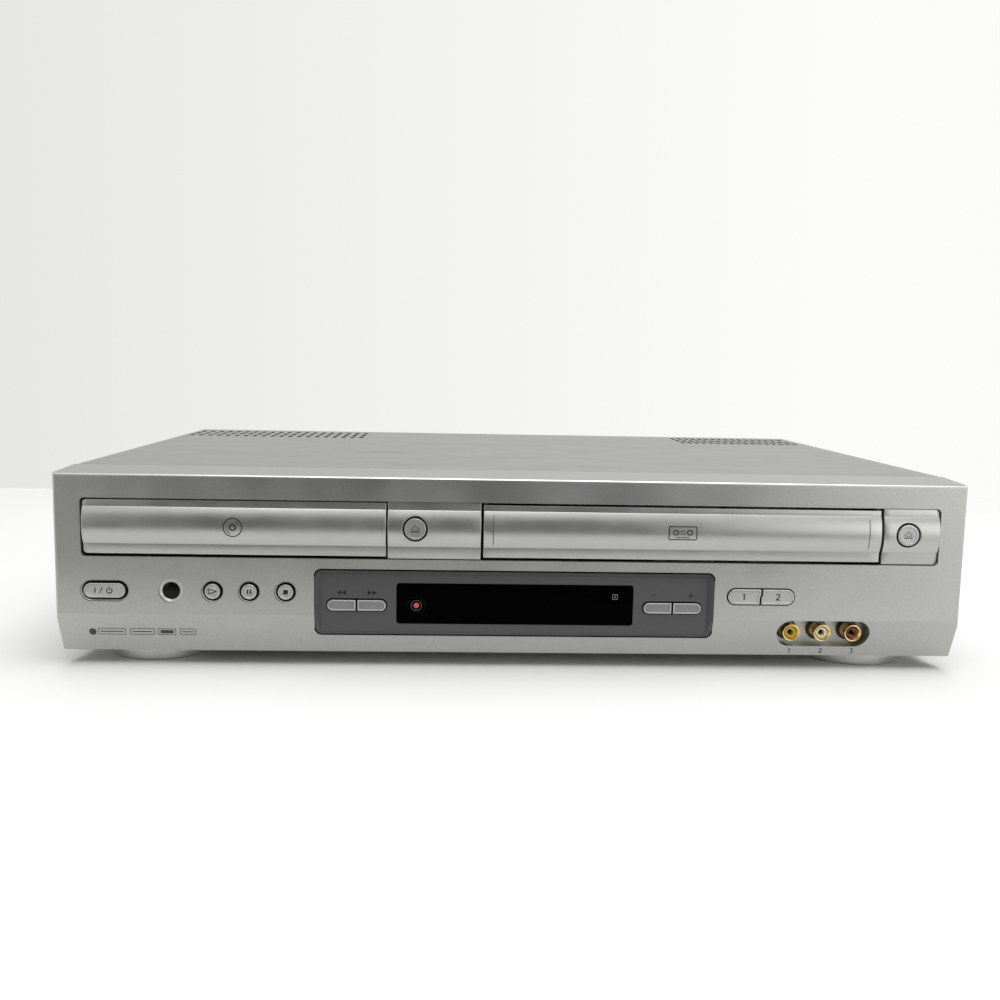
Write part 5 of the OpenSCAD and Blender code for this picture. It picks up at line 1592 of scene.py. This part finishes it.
def digits() -> tuple[list, list, list]:
    """Strokes of the numbers one, two and three, about 3 mm high.

    Returns:
        The outlines of each number.
    """
    one = [bar((0.0, -1.5), (0.0, 1.5), 0.55), bar((-0.75, 0.85), (0.05, 1.42), 0.45)]
    two = [arc(0.85, 0.52, -35, 165) + [0, 0.6], bar((0.68, 0.12), (-0.85, -1.4), 0.52),
           bar((-0.95, -1.35), (1.0, -1.35), 0.5)]
    three = [arc(0.8, 0.5, -80, 150) + [0, 0.72], arc(0.85, 0.5, -150, 80) + [0, -0.7]]
    return one, two, three


@dataclass(frozen=True)
class Front:
    """Upright upper front and leaning lower front of the case."""

    lean: float = 5.8
    break_z: float = 25.7
    bottom: float = 7.0

    def depth(self, z: np.ndarray) -> np.ndarray:
        """Depth at a height: a straight slope below the break, 0 above it."""
        return self.lean / (self.break_z - self.bottom) * np.maximum(self.break_z - z, 0)


@dataclass
class Controls:
    """All the buttons, the remote lens and the lines of painted shade around them."""

    wall: float = 2.4
    row_z: float = 37.0
    row_front: float = -0.9
    power_x: float = -192.2
    power_size: Span = (19.2, 6.9)  # width, height
    play_x: float = -142.4
    play_pitch: float = 17.0
    play_size: float = 7.2
    select_x: float = 117.6
    select_size: Span = (32.0, 7.3)
    select_jog: float = 0.3
    panel_back: float = 5.0
    pair_x: float = 75.4
    pair_z: float = 30.45
    pair_front: float = 1.6
    pair_size: Span = (27.8, 5.2)
    pair_land: float = 0.35
    record: Span = (-47.1, 30.5)
    record_front: float = 2.4
    record_size: float = 7.6
    ledge_back: float = 5.2
    eject_x: Span = (-47.9, 187.1)
    eject_z: float = 67.8
    eject_front: float = -1.2
    eject_size: float = 10.2
    eject_land: float = 0.6
    lens_x: float = -161.7
    lens: float = 3.85
    lens_rim: Span = (1.1, 0.5)  # depth, rise of the dome
    lens_side: float = 1.25
    collar: float = 5.05
    collar_y: Span = (2.4, 19.4)
    lens_line: float = 5.5  # radius of the painted shade line
    play_line: float = 5.12
    power_line: Span = (4.97, 6.15)  # radius, distance of the arcs from the middle
    line_width: Span = (0.34, 0.36)  # at the round holes, at the power button

    def plan(self) -> list[Cap]:
        """All the caps.

        Returns:
            The caps in the order in which they are built.
        """
        left, right = Outline.LEFT_HALF, Outline.RIGHT_HALF
        row_place, panel_place = (self.row_front, self.wall), (self.pair_front, self.panel_back)
        eject_place = (self.eject_front, self.ledge_back)
        caps = [Cap("power_button", Outline.PILL, self.power_x, self.row_z, *self.power_size, *row_place)]
        for number, name in enumerate(("play_button", "pause_button", "stop_button")):
            x = self.play_x + self.play_pitch * number
            caps.append(Cap(name, Outline.ROUND, x, self.row_z, self.play_size, self.play_size, *row_place))
        for name, way, half in (("rewind_button", -1, left), ("forward_button", -1, right),
                                ("channel_down_button", 1, left), ("channel_up_button", 1, right)):
            caps.append(Cap(name, half, way * self.pair_x, self.pair_z, *self.pair_size, *panel_place,
                            Look.PANEL_CAP, land=self.pair_land))
        for name, half in (("select_disc_button", left), ("select_tape_button", right)):
            caps.append(Cap(name, half, self.select_x, self.row_z, *self.select_size, *row_place,
                            jog=self.select_jog))
        caps.append(Cap("record_button", Outline.ROUND, *self.record, self.record_size, self.record_size,
                        self.record_front, self.panel_back, Look.WINDOW, slot="window_plastic"))
        for name, x in zip(("disc_eject_button", "tape_eject_button"), self.eject_x):
            caps.append(Cap(name, Outline.ROUND, x, self.eject_z, self.eject_size, self.eject_size,
                            *eject_place, land=self.eject_land))
        return caps

    def build(self) -> None:
        """Builds the caps, the lens, the lines of painted shade and the signs."""
        caps = self.plan()
        for cap in caps:
            cap.build()
        self.dome()
        self.rims()
        Signs({cap.node: cap for cap in caps}).build()

    def dome(self) -> None:
        """Remote lens: a shallow elliptic dome in the hole, over the collar that holds it."""
        rim, rise = self.lens_rim
        front, end = self.collar_y
        profile = [(self.collar, end), (self.collar, front), (self.lens, front), (self.lens, self.lens_side)]
        for t in np.linspace(np.pi / 2, 0, 8):
            profile.append((self.lens * math.sin(t) + 0.002, rim - rise * math.cos(t)))
        piece("remote_lens_dome", *lathe(Axis.Y, (self.lens_x, 0, self.row_z), profile), Look.LENS,
              node="remote_lens", slot="lens_plastic")

    def rims(self) -> None:
        """Painted shade: a dark grey line along the lower left of each countersink's edge."""
        def bow(radius: float, first: float, last: float, x: float = 0.0) -> np.ndarray:
            """Points along part of a countersink's edge, seen from the front."""
            turn = np.radians(np.linspace(first, last, 28))
            return np.column_stack([x + radius * np.cos(turn), radius * np.sin(turn)])

        def painted_rim(name: str, line: np.ndarray, width: float, x: float) -> None:
            """One painted shade line on the face around the buttons."""
            # The grey ink here is painted shade, not print.
            Mark(name, "case", [crescent(line, width)], x, self.row_z, level(0.0), Look.GREY_INK).build()

        round_width, power_width = self.line_width
        painted_rim("lens_rim_shade", bow(self.lens_line, 135, 295), round_width, self.lens_x)
        for number, name in enumerate(("play_rim_shade", "pause_rim_shade", "stop_rim_shade")):
            x = self.play_x + self.play_pitch * number
            painted_rim(name, bow(self.play_line, 135, 295), round_width, x)
        radius, away = self.power_line
        both = np.vstack([bow(radius, 110, 270, -away)[:-1], bow(radius, 270, 300, away)])
        painted_rim("power_rim_shade", both, power_width, self.power_x)


@dataclass
class Signs:
    """Signs on the buttons and above the small pairs, and plain pictures and numbers on the fronts.

    The points of each sign count from its own middle.
    """

    caps: dict[str, Cap]
    plate: float = 3.0
    glass: float = 2.8
    pair_z: float = 36.4
    channel_z: float = 36.6
    picture_z: float = 67.5
    disc_x: float = -132.6
    cassette_x: float = 78.5
    low_dot: Span = (-199.2, 16.4)
    low_z: float = 16.65
    # Name, place, half width and line inside of each frame on the lower front.
    low_frames: tuple = (("low_mark_wide", -190.3, 6.3, 0.5), ("low_mark_pair", -176.1, 5.6, 0.5),
                         ("low_mark_full", -164.6, 4.0, 1.7), ("low_mark_last", -154.8, 3.6, 0.5))
    number_x: float = 149.6
    number_pitch: float = 15.2
    number_z: float = 9.5
    number_size: float = 0.78
    window_mark: Span = (47.8, 35.6)

    def build(self) -> None:
        """Prints the signs on the caps, on the panel, on the band and on the lower front."""
        self.cap_signs()
        self.panel_signs()
        self.pictures()
        self.low_marks()
        x, z = self.window_mark
        square = [*frame_bars((1.0, 1.15), (1.15, 1.3), 0.3), *bars(0.5, (0, -0.6, 0, 0.6))]
        Mark("window_mark", "case", square, x, z, level(self.glass), Look.PALE_INK).build()

    def on_cap(self, node: str, name: str, shapes: Sequence[np.ndarray], look: Look = Look.INK) -> None:
        """Prints a sign on the dished face of a cap.

        Args:
            node: The cap's node.
            name: Name of the sign.
            shapes: Outlines around the cap's middle.
            look: Ink.
        """
        cap = self.caps[node]

        def depth(u: np.ndarray, v: np.ndarray) -> np.ndarray:
            """Depth of the face at a point of the sign."""
            if cap.outline is Outline.ROUND:
                return cap.floor(np.hypot(u, v) / cap.face)
            return np.full_like(u, cap.front + cap.sunk)

        Mark(name, node, shapes, cap.middle, cap.z, depth, look).build()

    def cap_signs(self) -> None:
        """Signs for power, play, pause, stop, eject and record, and the numbers 1 and 2 on the selectors."""
        power = [bar((-4.4, -1.2), (-4.4, 1.2), 0.52), bar((-2.4, -1.25), (-0.9, 1.25), 0.46),
                 arc(1.25, 0.5, 130, 410) + [2.2, -0.1], bar((2.2, 0.2), (2.2, 1.7), 0.5)]
        pause = bars(0.76, (-0.68, -1.05, -0.68, 1.05), (0.68, -1.05, 0.68, 1.05))
        self.on_cap("power_button", "power_sign", power)
        self.on_cap("play_button", "play_sign", outlined(TRIANGLE * [2.1, 1.2], 0.42))
        self.on_cap("pause_button", "pause_sign", pause)
        self.on_cap("stop_button", "stop_sign", bars(2.16, (-1.08, 0, 1.08, 0)))
        arrow = outlined(np.array([[-2.0, -0.35], [2.0, -0.35], [0.0, 1.75]]), 0.26)
        for name in ("disc_eject", "tape_eject"):
            self.on_cap(name + "_button", name + "_sign", arrow + bars(0.5, (-2.1, -1.3, 2.1, -1.3)))
        rings = [arc(2.45, 0.16, start, start + 179) for start in (0, 180)]
        self.on_cap("record_button", "record_dot", [circle(1.3, 32)], Look.RED_DOT)
        self.on_cap("record_button", "record_ring", rings, Look.PALE_INK)
        one, two, _ = digits()
        self.on_cap("select_disc_button", "select_one", one)
        self.on_cap("select_tape_button", "select_two", two)

    def panel_signs(self) -> None:
        """Double triangles, minus and plus on the display panel."""
        plate = level(self.plate)
        for name, x, way in (("rewind_sign", -82.6, -1), ("forward_sign", -68.0, 1)):
            pair = [TRIANGLE[::way] * [way * 1.12, 1.1] + [way * s * 1.1, 0] for s in (-1, 1)]
            Mark(name, "case", pair, x, self.pair_z, plate).build()
        plus = bars(0.42, (-1.1, 0, 1.1, 0), (0, 0.22, 0, 1.1), (0, -1.1, 0, -0.22))
        Mark("minus_sign", "case", bars(0.42, (-1.0, 0, 1.0, 0)), 66.4, self.channel_z, plate).build()
        Mark("plus_sign", "case", plus, 84.5, self.channel_z, plate).build()

    def pictures(self) -> None:
        """A disc on the tray front and a cassette on the door."""
        bulge = BandPiece("", "", 0.0, 1.0, 0.0, 1.0, 0.0)

        def on_bulge(u: np.ndarray, v: np.ndarray) -> np.ndarray:
            """Depth of the bulge around the height of the pictures."""
            return bulge.section(v + self.picture_z)

        disc = [arc(4.3, 0.5, start, start + 180, 48) for start in (0, 180)]
        disc += [arc(1.35, 0.6, start, start + 180) for start in (0, 180)]
        disc += [arc(3.1, 0.35, start, start + 50) for start in (20, 200)]
        Mark("disc_picture", "tray", disc, self.disc_x, self.picture_z, on_bulge).build()
        half_w, half_h, line = 6.6, 3.1, 0.5
        cassette = bars(line, (-half_w, -half_h, half_w, -half_h), (-half_w, half_h, half_w, half_h))
        cassette += [upright(x, half_h - line / 2, line) for x in (-half_w, half_w)]
        for x in (-3.3, 3.3):
            cassette += [arc(1.15, line, start, start + 180) + [x, 0.3] for start in (0, 180)]
        cassette += bars(0.3, (-1.3, 1.0, 1.3, 1.0), (-1.3, -0.4, 1.3, -0.4))
        cassette += bars(0.35, (-3.4, -2.1, 3.4, -2.1))
        Mark("cassette_picture", "door", cassette, self.cassette_x, self.picture_z, on_bulge).build()

    def low_marks(self) -> None:
        """A dot and four frames at the left of the leaning lower front, and numbers under the sockets."""
        def low(name: str, shapes: Sequence[np.ndarray], x: float, z: float, look: Look) -> None:
            """One mark on the leaning lower front."""
            Mark(name, "case", shapes, x, z, lambda u, v: Front().depth(v + z), look).build()

        low("low_mark_disc", [circle(1.7, 32)], *self.low_dot, Look.GREY_INK)
        for name, x, half, line in self.low_frames:
            inside = bars(line, (1.0 - half, 0, half - 1.0, 0))
            low(name, frame_bars((half, 1.5), (half, 1.35), 0.3) + inside, x, self.low_z, Look.GREY_INK)
        for column, (word, digit) in enumerate(zip(("one", "two", "three"), digits()), start=-1):
            shapes = [part * self.number_size for part in digit]
            x = self.number_x + self.number_pitch * column
            low("number_" + word, shapes, x, self.number_z, Look.INK)


# ---- display


@dataclass
class Display:
    """Dark panel with its black window and the raised lips around the openings for the small caps."""

    plate: float = 3.0
    opening: Span = (29.0, 6.4)
    centres: Span = (-75.4, 75.4)
    height: float = 30.45
    lip: float = 0.22
    lip_gap: float = 0.12
    lip_back: float = 0.1
    half: Span = (94.8, 15.8)
    middle: float = 32.0
    corner: float = 3.0
    # Section of the black strip of painted shade in the joint: out of the panel's edge, behind the front.
    joint: tuple[Span, ...] = ((0.48, -0.02), (-0.24, -0.02), (-0.24, 1.4), (0.48, 1.4), (0.48, -0.02))

    def build(self) -> None:
        """Dresses the panel and the window, and adds the lips and the black strip of painted shade in the
        joint.
        """
        dress(Look.PANEL, "display_panel", edge=0.2)
        dress(Look.WINDOW, "display_window", edge=0.12)
        self.lips()
        self.seam()

    def lips(self) -> None:
        """Half-round bead along each opening, closed at its back."""
        half_w, half_h = self.opening[0] / 2, self.opening[1] / 2
        opening = rounded(half_w, half_h, [half_h * 0.9999] * 4, 16)
        back = self.plate + self.lip_back
        bead = []
        for t in np.linspace(0, np.pi, 7):
            line = outset(opening, self.lip * (1 - math.cos(t)) / 2 + self.lip_gap)
            bead.append((line, self.plate - self.lip * math.sin(t) / 2))
        inner, outer = bead[0][0], bead[-1][0]
        section = [(inner, back), *bead, (outer, back), (inner, back)]
        lips = [stacked(section, x, self.height, capped=False) for x in self.centres]
        piece("opening_lips", *join(*lips), Look.LIP)

    def seam(self) -> None:
        """Black strip of painted shade in the joint around the panel: its section carried along the panel's
        outline.
        """
        rings = []
        for grow, deep in self.joint:
            outline = rounded(self.half[0] + grow, self.half[1] + grow, [self.corner + grow] * 4, 12)
            x, z = (outline + [0, self.middle]).T
            rings.append(np.column_stack([x, Front().depth(z) + deep, z]))
        # Black strip: painted shade in the joint around the panel.
        piece("panel_joint_shade", *stack(np.array(rings), capped=False), Look.WINDOW, smooth=30)


# ---- sockets


@dataclass
class Sockets:
    """Front and rear phono sockets, and the pins of the mains inlet."""

    front_x: float = 149.6
    front_z: float = 18.6
    rear_x: float = -24.0
    rear_z: Span = (44.0, 60.0)
    pitch: float = 15.2
    front_face: float = 3.6
    front_root: float = 17.9
    rear_face: float = 290.0
    rear_root: float = 269.2
    # Profiles of pairs of radius and distance behind the face, without their roots.
    shell: tuple[Span, ...] = ((3.9, 9.3), (4.15, 9.2), (4.15, 0.35), (4.05, 0.1), (3.8, 0.0), (3.55, 0.05),
                               (3.35, 0.3), (2.75, 1.1), (2.65, 1.3), (3.45, 1.6))
    disc: tuple[Span, ...] = ((3.35, 0.9), (2.6, 0.5), (2.6, 0.15), (2.45, 0.0), (1.95, 0.05), (1.6, 0.35))
    floor: float = 1.5  # of the blind hole
    insert_in: float = 0.95
    contact: Span = (1.52, 1.27)  # outer and inner radius
    contact_in: float = 2.2
    contact_front: float = 2.5  # from its end to the root
    contact_rear: float = 2.3
    collar: tuple[Span, ...] = ((4.2, 13.0), (5.2, 13.0), (5.2, 12.5), (5.0, 12.3), (4.2, 12.3), (4.2, 13.0))
    inlet: Span = (-168.0, 36.0)
    inlet_pitch: float = 7.8
    inlet_pin: float = 1.2
    inlet_y: Span = (267.0, 281.5)

    def build(self) -> None:
        """Builds the shells and inserts and dresses the blocks."""
        dress(Look.BLACK, "front_socket_block", "rear_socket_block", edge=0.2)
        dress(Look.BLACK, "mains_inlet", edge=0.3)
        dress(Look.TIN, "tuner_module", edge=0.2)
        self.shells()
        self.inserts()
        self.collars()
        self.inlet_pins()

    def shells(self) -> None:
        """Gold shells at the front and nickel shells at the rear."""
        front, rear = [], []
        for column in (-1, 0, 1):
            x, rear_x = self.front_x + column * self.pitch, self.rear_x + column * self.pitch
            front.append(self.tube(x, self.front_z, self.front_face, self.front_root))
            rear += [self.tube(rear_x, z, self.rear_face, self.rear_root) for z in self.rear_z]
        piece("front_shell_rings", *join(*front), Look.GOLD, node="front_socket_shells", slot="gold_plate")
        piece("rear_shell_rings", *join(*rear), Look.NICKEL, node="rear_socket_shells", slot="nickel_plate")

    def inserts(self) -> None:
        """Yellow, white and red inserts by column, one at the front and two at the rear, with contacts."""
        kinds = (("video_inserts", Look.YELLOW, "yellow_plastic"),
                 ("left_inserts", Look.WHITE, "white_plastic"),
                 ("right_inserts", Look.RED, "red_plastic"))
        face, rear_face = self.front_face + self.insert_in, self.rear_face - self.insert_in
        near, rear_near = face + self.contact_in, rear_face - self.contact_in
        far, rear_far = self.front_root - self.contact_front, self.rear_root + self.contact_rear
        contacts = []
        for column, (node, look, slot) in enumerate(kinds, start=-1):
            x, rear_x = self.front_x + column * self.pitch, self.rear_x - column * self.pitch
            discs = [self.insert(x, self.front_z, face, self.front_root)]
            discs += [self.insert(rear_x, z, rear_face, self.rear_root) for z in self.rear_z]
            contacts.append(self.sleeve(x, self.front_z, near, far))
            contacts += [self.sleeve(rear_x, z, rear_near, rear_far) for z in self.rear_z]
            piece(node + "_rings", *join(*discs), look, node=node, slot=slot)
        piece("centre_contacts", *join(*contacts), Look.GOLD)

    def collars(self) -> None:
        """Black collars around the front shells, where they leave the wall of the recess."""
        places = [(self.front_x + column * self.pitch, 0, self.front_z) for column in (-1, 0, 1)]
        rings = join(*(lathe(Axis.Y, place, self.collar, 48, capped=False) for place in places))
        piece("socket_collars", *rings, Look.BLACK)

    def inlet_pins(self) -> None:
        """Two round pins inside the mains inlet, each with a domed end."""
        x, z = self.inlet
        r, (root, tip) = self.inlet_pin, self.inlet_y
        dome = [(r * math.cos(t) + 0.001, tip - r + r * math.sin(t)) for t in np.linspace(0, np.pi / 2, 6)]
        places = [(x + side * self.inlet_pitch / 2, 0, z) for side in (-1, 1)]
        pins = join(*(lathe(Axis.Y, place, [(r, root), *dome], 24) for place in places))
        piece("inlet_pins", *pins, Look.NICKEL)

    def tube(self, x: float, z: float, face: float, root: float) -> Shape:
        """Shell of one socket: stepped outer wall, rounded lip, and a cone that narrows the mouth.

        Args:
            x: Middle of the socket.
            z: Height of the middle.
            face: Depth of the mouth.
            root: Depth of the root.

        Returns:
            Points and faces.
        """
        outer, bore = (self.shell[0][0], abs(root - face)), (self.shell[-1][0], abs(root - face))
        return self.turned(x, z, face, root, [outer, *self.shell, bore, outer], 64)

    def insert(self, x: float, z: float, face: float, root: float) -> Shape:
        """Insulating insert: a stepped disc with a countersunk hole that ends blind.

        Args:
            x: Middle of the socket.
            z: Height of the middle.
            face: Depth of the insert's face.
            root: Depth of its back.

        Returns:
            Points and faces.
        """
        rim, hole, length = self.disc[0][0], self.disc[-1][0], abs(root - face)
        blind = [(hole, length - self.floor), (0.001, length - self.floor)]
        return self.turned(x, z, face, root, [(0.001, length), (rim, length), *self.disc, *blind], 48)

    def sleeve(self, x: float, z: float, near: float, far: float) -> Shape:
        """Sprung contact inside the pin hole, between two depths."""
        (r, bore), length = self.contact, abs(far - near)
        profile = [(r, length), (r, 0.0), (bore, 0.0), (bore, length), (r, length)]
        return self.turned(x, z, near, far, profile, 24)

    @staticmethod
    def turned(x: float, z: float, face: float, root: float, profile: Sequence[Span], count: int) -> Shape:
        """Profile of a socket's part, turned around the socket's axis from its face towards its root."""
        way = 1 if root > face else -1
        placed = [(radius, face + way * deep) for radius, deep in profile]
        return lathe(Axis.Y, (x, 0, z), placed, count, capped=False)


# ---- inside


@dataclass
class Works:
    """Everything inside the case."""

    def build(self) -> None:
        """Dresses the boards, the disc loader and the tape deck."""
        dress(Look.BOARD, "control_board", "main_board")
        dress(Look.PHENOLIC, "power_board")
        dress(Look.TAPE, "transformer", edge=0.5)
        dress(Look.GREY, "loader_frame", "laser_sled", "cassette_basket", "pinch_arm", edge=0.3)
        dress(Look.BLACK, "disc_tray", "clamp_puck", edge=0.3)
        dress(Look.WHITE, "tray_pinion", "supply_reel", "takeup_reel")
        dress(Look.STEEL, "guide_rods", "capstan", "upper_drum", "lower_drum", "turntable", "clamp_bridge")
        dress(Look.SHEET, "deck_frame", "deck_sides", "cassette_carriage", edge=0.15)
        dress(Look.BRASS, "supply_arm", "takeup_arm")


# ---- studio


@dataclass(frozen=True)
class Viewpoint:
    """Camera of the studio, in mm and radians.

    Attributes:
        place: Where the camera stands, on the drawing.
        down: How far it looks down.
        right: How far it looks to the right.
        roll: How far it leans.
        focal: Focal length in pixels of a square frame.
        frame: Side of that frame in pixels.
        sensor: Side of the sensor in mm.
    """

    place: Triple = (-29.94, -501.76, 146.37)
    down: float = 0.127434
    right: float = 0.042919
    roll: float = 0.019549
    focal: float = 1080.0
    frame: float = 1000.0
    sensor: float = 36.0

    def build(self) -> None:
        """Makes the camera from its forward, right and up directions."""
        forward = np.array([math.sin(self.right) * math.cos(self.down),
                            math.cos(self.right) * math.cos(self.down), -math.sin(self.down)])
        level_right = np.array([math.cos(self.right), -math.sin(self.right), 0.0])
        above = np.cross(level_right, forward)
        right = math.cos(self.roll) * level_right + math.sin(self.roll) * above
        up = -math.sin(self.roll) * level_right + math.cos(self.roll) * above
        lens = bpy.data.cameras.new("camera")
        lens.sensor_width = self.sensor
        lens.lens = self.sensor * self.focal / self.frame
        camera = bpy.data.objects.new("camera", lens)
        bpy.context.scene.collection.objects.link(camera)
        matrix = np.eye(4)
        matrix[:3, :3] = np.stack([right, up, -forward], -1)
        matrix[:3, 3] = row(np.array(self.place))
        camera.matrix_world = Matrix(matrix.tolist())
        bpy.context.scene.camera = camera


@dataclass(frozen=True)
class Panel:
    """Soft lamp that looks at the player.

    Attributes:
        name: Name of the lamp.
        place: Where it hangs, in metres of the row frame.
        size: Its sides in metres.
        power: Its power in watts.
        aim: Point that it looks at.
    """

    name: str
    place: Triple
    size: Span
    power: float
    aim: Triple = (0.0, 0.0, 0.05)

    def build(self) -> None:
        """Makes the lamp and turns it towards the player."""
        light = bpy.data.lights.new(self.name, "AREA")
        light.shape = "RECTANGLE"
        light.size, light.size_y = self.size
        light.energy = self.power
        lamp = bpy.data.objects.new(self.name, light)
        bpy.context.scene.collection.objects.link(lamp)
        place = Vector(self.place)
        turn = (Vector(self.aim) - place).to_track_quat("-Z", "Y").to_matrix().to_4x4()
        lamp.matrix_world = Matrix.Translation(place) @ turn


@dataclass
class Studio:
    """Table, pale wall, lamps, dark side of the room and camera. Lengths are metres of the row frame."""

    lamps: tuple[Panel, ...] = (Panel("key", (0.35, -0.62, 1.82), (2.4, 1.6), 27.0),
                                Panel("sky", (0.0, 0.45, 1.7), (1.8, 1.4), 13.0),
                                Panel("side", (1.08, -1.33, 0.3), (1.1, 0.8), 3.0))
    pale: Triple = (1.0, 1.0, 0.985)
    wall_shade_tones: Span = (0.80, 0.97)
    wall_shade_span: Span = (-0.9, 0.7)
    wall_place: float = 1.6
    wall_half: float = 2.4
    wall_ends: Span = (-0.6, 2.6)
    room_tone: Triple = (0.88, 0.885, 0.87)
    room_light: float = 0.45
    table_tone: float = 0.88
    table_uneven: float = 0.02
    table_gloss: Span = (0.5, 0.6)
    table_front: float = -1.6
    table_rear: float = 0.54
    table_half: float = 1.6
    dark_tone: Triple = (0.03, 0.03, 0.03)
    dark_sides: Span = (-0.48, 0.30)
    dark_front: float = -0.34
    dark_figure: float = -0.9
    dark_top: float = 0.42
    dark_lift: float = 0.001

    def build(self) -> None:
        """Builds the studio."""
        Viewpoint().build()
        for lamp in self.lamps:
            lamp.build()
        self.surroundings()
        self.wall()
        self.table()
        self.dark_side()
        bpy.context.scene.view_settings.view_transform = "Standard"

    def surroundings(self) -> None:
        """World: pale as seen by the camera and in reflections, dimmer as a source of light."""
        world = bpy.data.worlds.new("room")
        bpy.context.scene.world = world
        world.use_nodes = True
        nodes, links = world.node_tree.nodes, world.node_tree.links
        back = nodes["Background"]
        back.inputs["Color"].default_value = (*self.room_tone, 1.0)
        rays = nodes.new("ShaderNodeLightPath")
        strength = nodes.new("ShaderNodeMapRange")
        strength.inputs[3].default_value = self.room_light
        strength.inputs[4].default_value = 1.0
        seen = rays.outputs["Is Camera Ray"]
        for kind in ("Is Glossy Ray", "Is Transmission Ray"):
            either = nodes.new("ShaderNodeMath")
            either.operation = "MAXIMUM"
            links.new(seen, either.inputs[0])
            links.new(rays.outputs[kind], either.inputs[1])
            seen = either.outputs[0]
        links.new(seen, strength.inputs[0])
        links.new(strength.outputs[0], back.inputs["Strength"])

    def plane(self, name: str, x: Span, y: Span, z: Span, material: bpy.types.Material) -> bpy.types.Object:
        """Flat piece of the studio, level or upright.

        Args:
            name: Name of the piece.
            x: Its ends along x.
            y: Depths of its first and second edge.
            z: Heights of its first and second edge.
            material: Its material.

        Returns:
            The object.
        """
        mesh = bpy.data.meshes.new(name)
        edge = [(x[0], y[0], z[0]), (x[1], y[0], z[0]), (x[1], y[1], z[1]), (x[0], y[1], z[1])]
        mesh.from_pydata(edge, [], [(0, 1, 2, 3)])
        mesh.materials.append(material)
        thing = bpy.data.objects.new(name, mesh)
        bpy.context.scene.collection.objects.link(thing)
        LOG.info("%s: flat piece of the studio", name)
        return thing

    def wall(self) -> None:
        """Pale wall behind the table that lights nothing, with painted shade: a little darker at the left,
        where less light falls.
        """
        g = Graph("wall_pale")
        across = g.add("ShaderNodeSeparateXYZ", {0: g.point}).outputs[0]
        # Painted shade: the glow of the wall falls off towards the left.
        tone = g.span(across, *self.wall_shade_tones, source=self.wall_shade_span)
        looks = {"Base Color": (0.0, 0.0, 0.0, 1.0), "Specular IOR Level": 0.0,
                 "Emission Color": g.mix(tone, (0.0, 0.0, 0.0), self.pale), "Emission Strength": 1.0}
        for key, value in looks.items():
            g.feed(g.shader.inputs[key], value)
        x, y = self.wall_half, self.wall_place
        wall = self.plane("wall", (-x, x), (y, y), self.wall_ends, g.material)
        wall.visible_diffuse = False
        wall.visible_shadow = False

    def table(self) -> None:
        """White table top with a faint unevenness."""
        g = Graph("table_white")
        low, high = (tint(self.pale, tone) for tone in (self.table_tone - self.table_uneven, self.table_tone))
        g.feed(g.shader.inputs["Base Color"], g.mix(g.noise(160.0), low, high))
        g.feed(g.shader.inputs["Roughness"], g.span(g.noise(60.0), *self.table_gloss))
        g.feed(g.shader.inputs["Specular IOR Level"], 0.0)
        x = self.table_half
        self.plane("table", (-x, x), (self.table_front, self.table_rear), (0.0, 0.0), g.material)

    def dark_side(self) -> None:
        """Dark floor and figure in front of the table, seen in reflections alone."""
        g = Graph("dark_side")
        g.feed(g.shader.inputs["Base Color"], (*self.dark_tone, 1.0))
        g.feed(g.shader.inputs["Roughness"], 1.0)
        floor_y, floor_z = (self.table_front, self.dark_front), (self.dark_lift, self.dark_lift)
        figure_y, figure_z = (self.dark_figure, self.dark_figure), (0.0, self.dark_top)
        for card in (self.plane("dark_floor", self.dark_sides, floor_y, floor_z, g.material),
                     self.plane("dark_figure", self.dark_sides, figure_y, figure_z, g.material)):
            card.visible_camera = False
            card.visible_shadow = False
            card.visible_diffuse = False
            card.visible_transmission = False


def main() -> None:
    """Builds the studio and the player."""
    logging.basicConfig(level=logging.INFO, format="%(message)s")
    for part in (Studio(), Case(), Band(), Controls(), Display(), Sockets(), Works()):
        LOG.info("-- %s", type(part).__name__)
        part.build()
    bpy.context.view_layer.update()


if __name__ == "__main__":
    main()
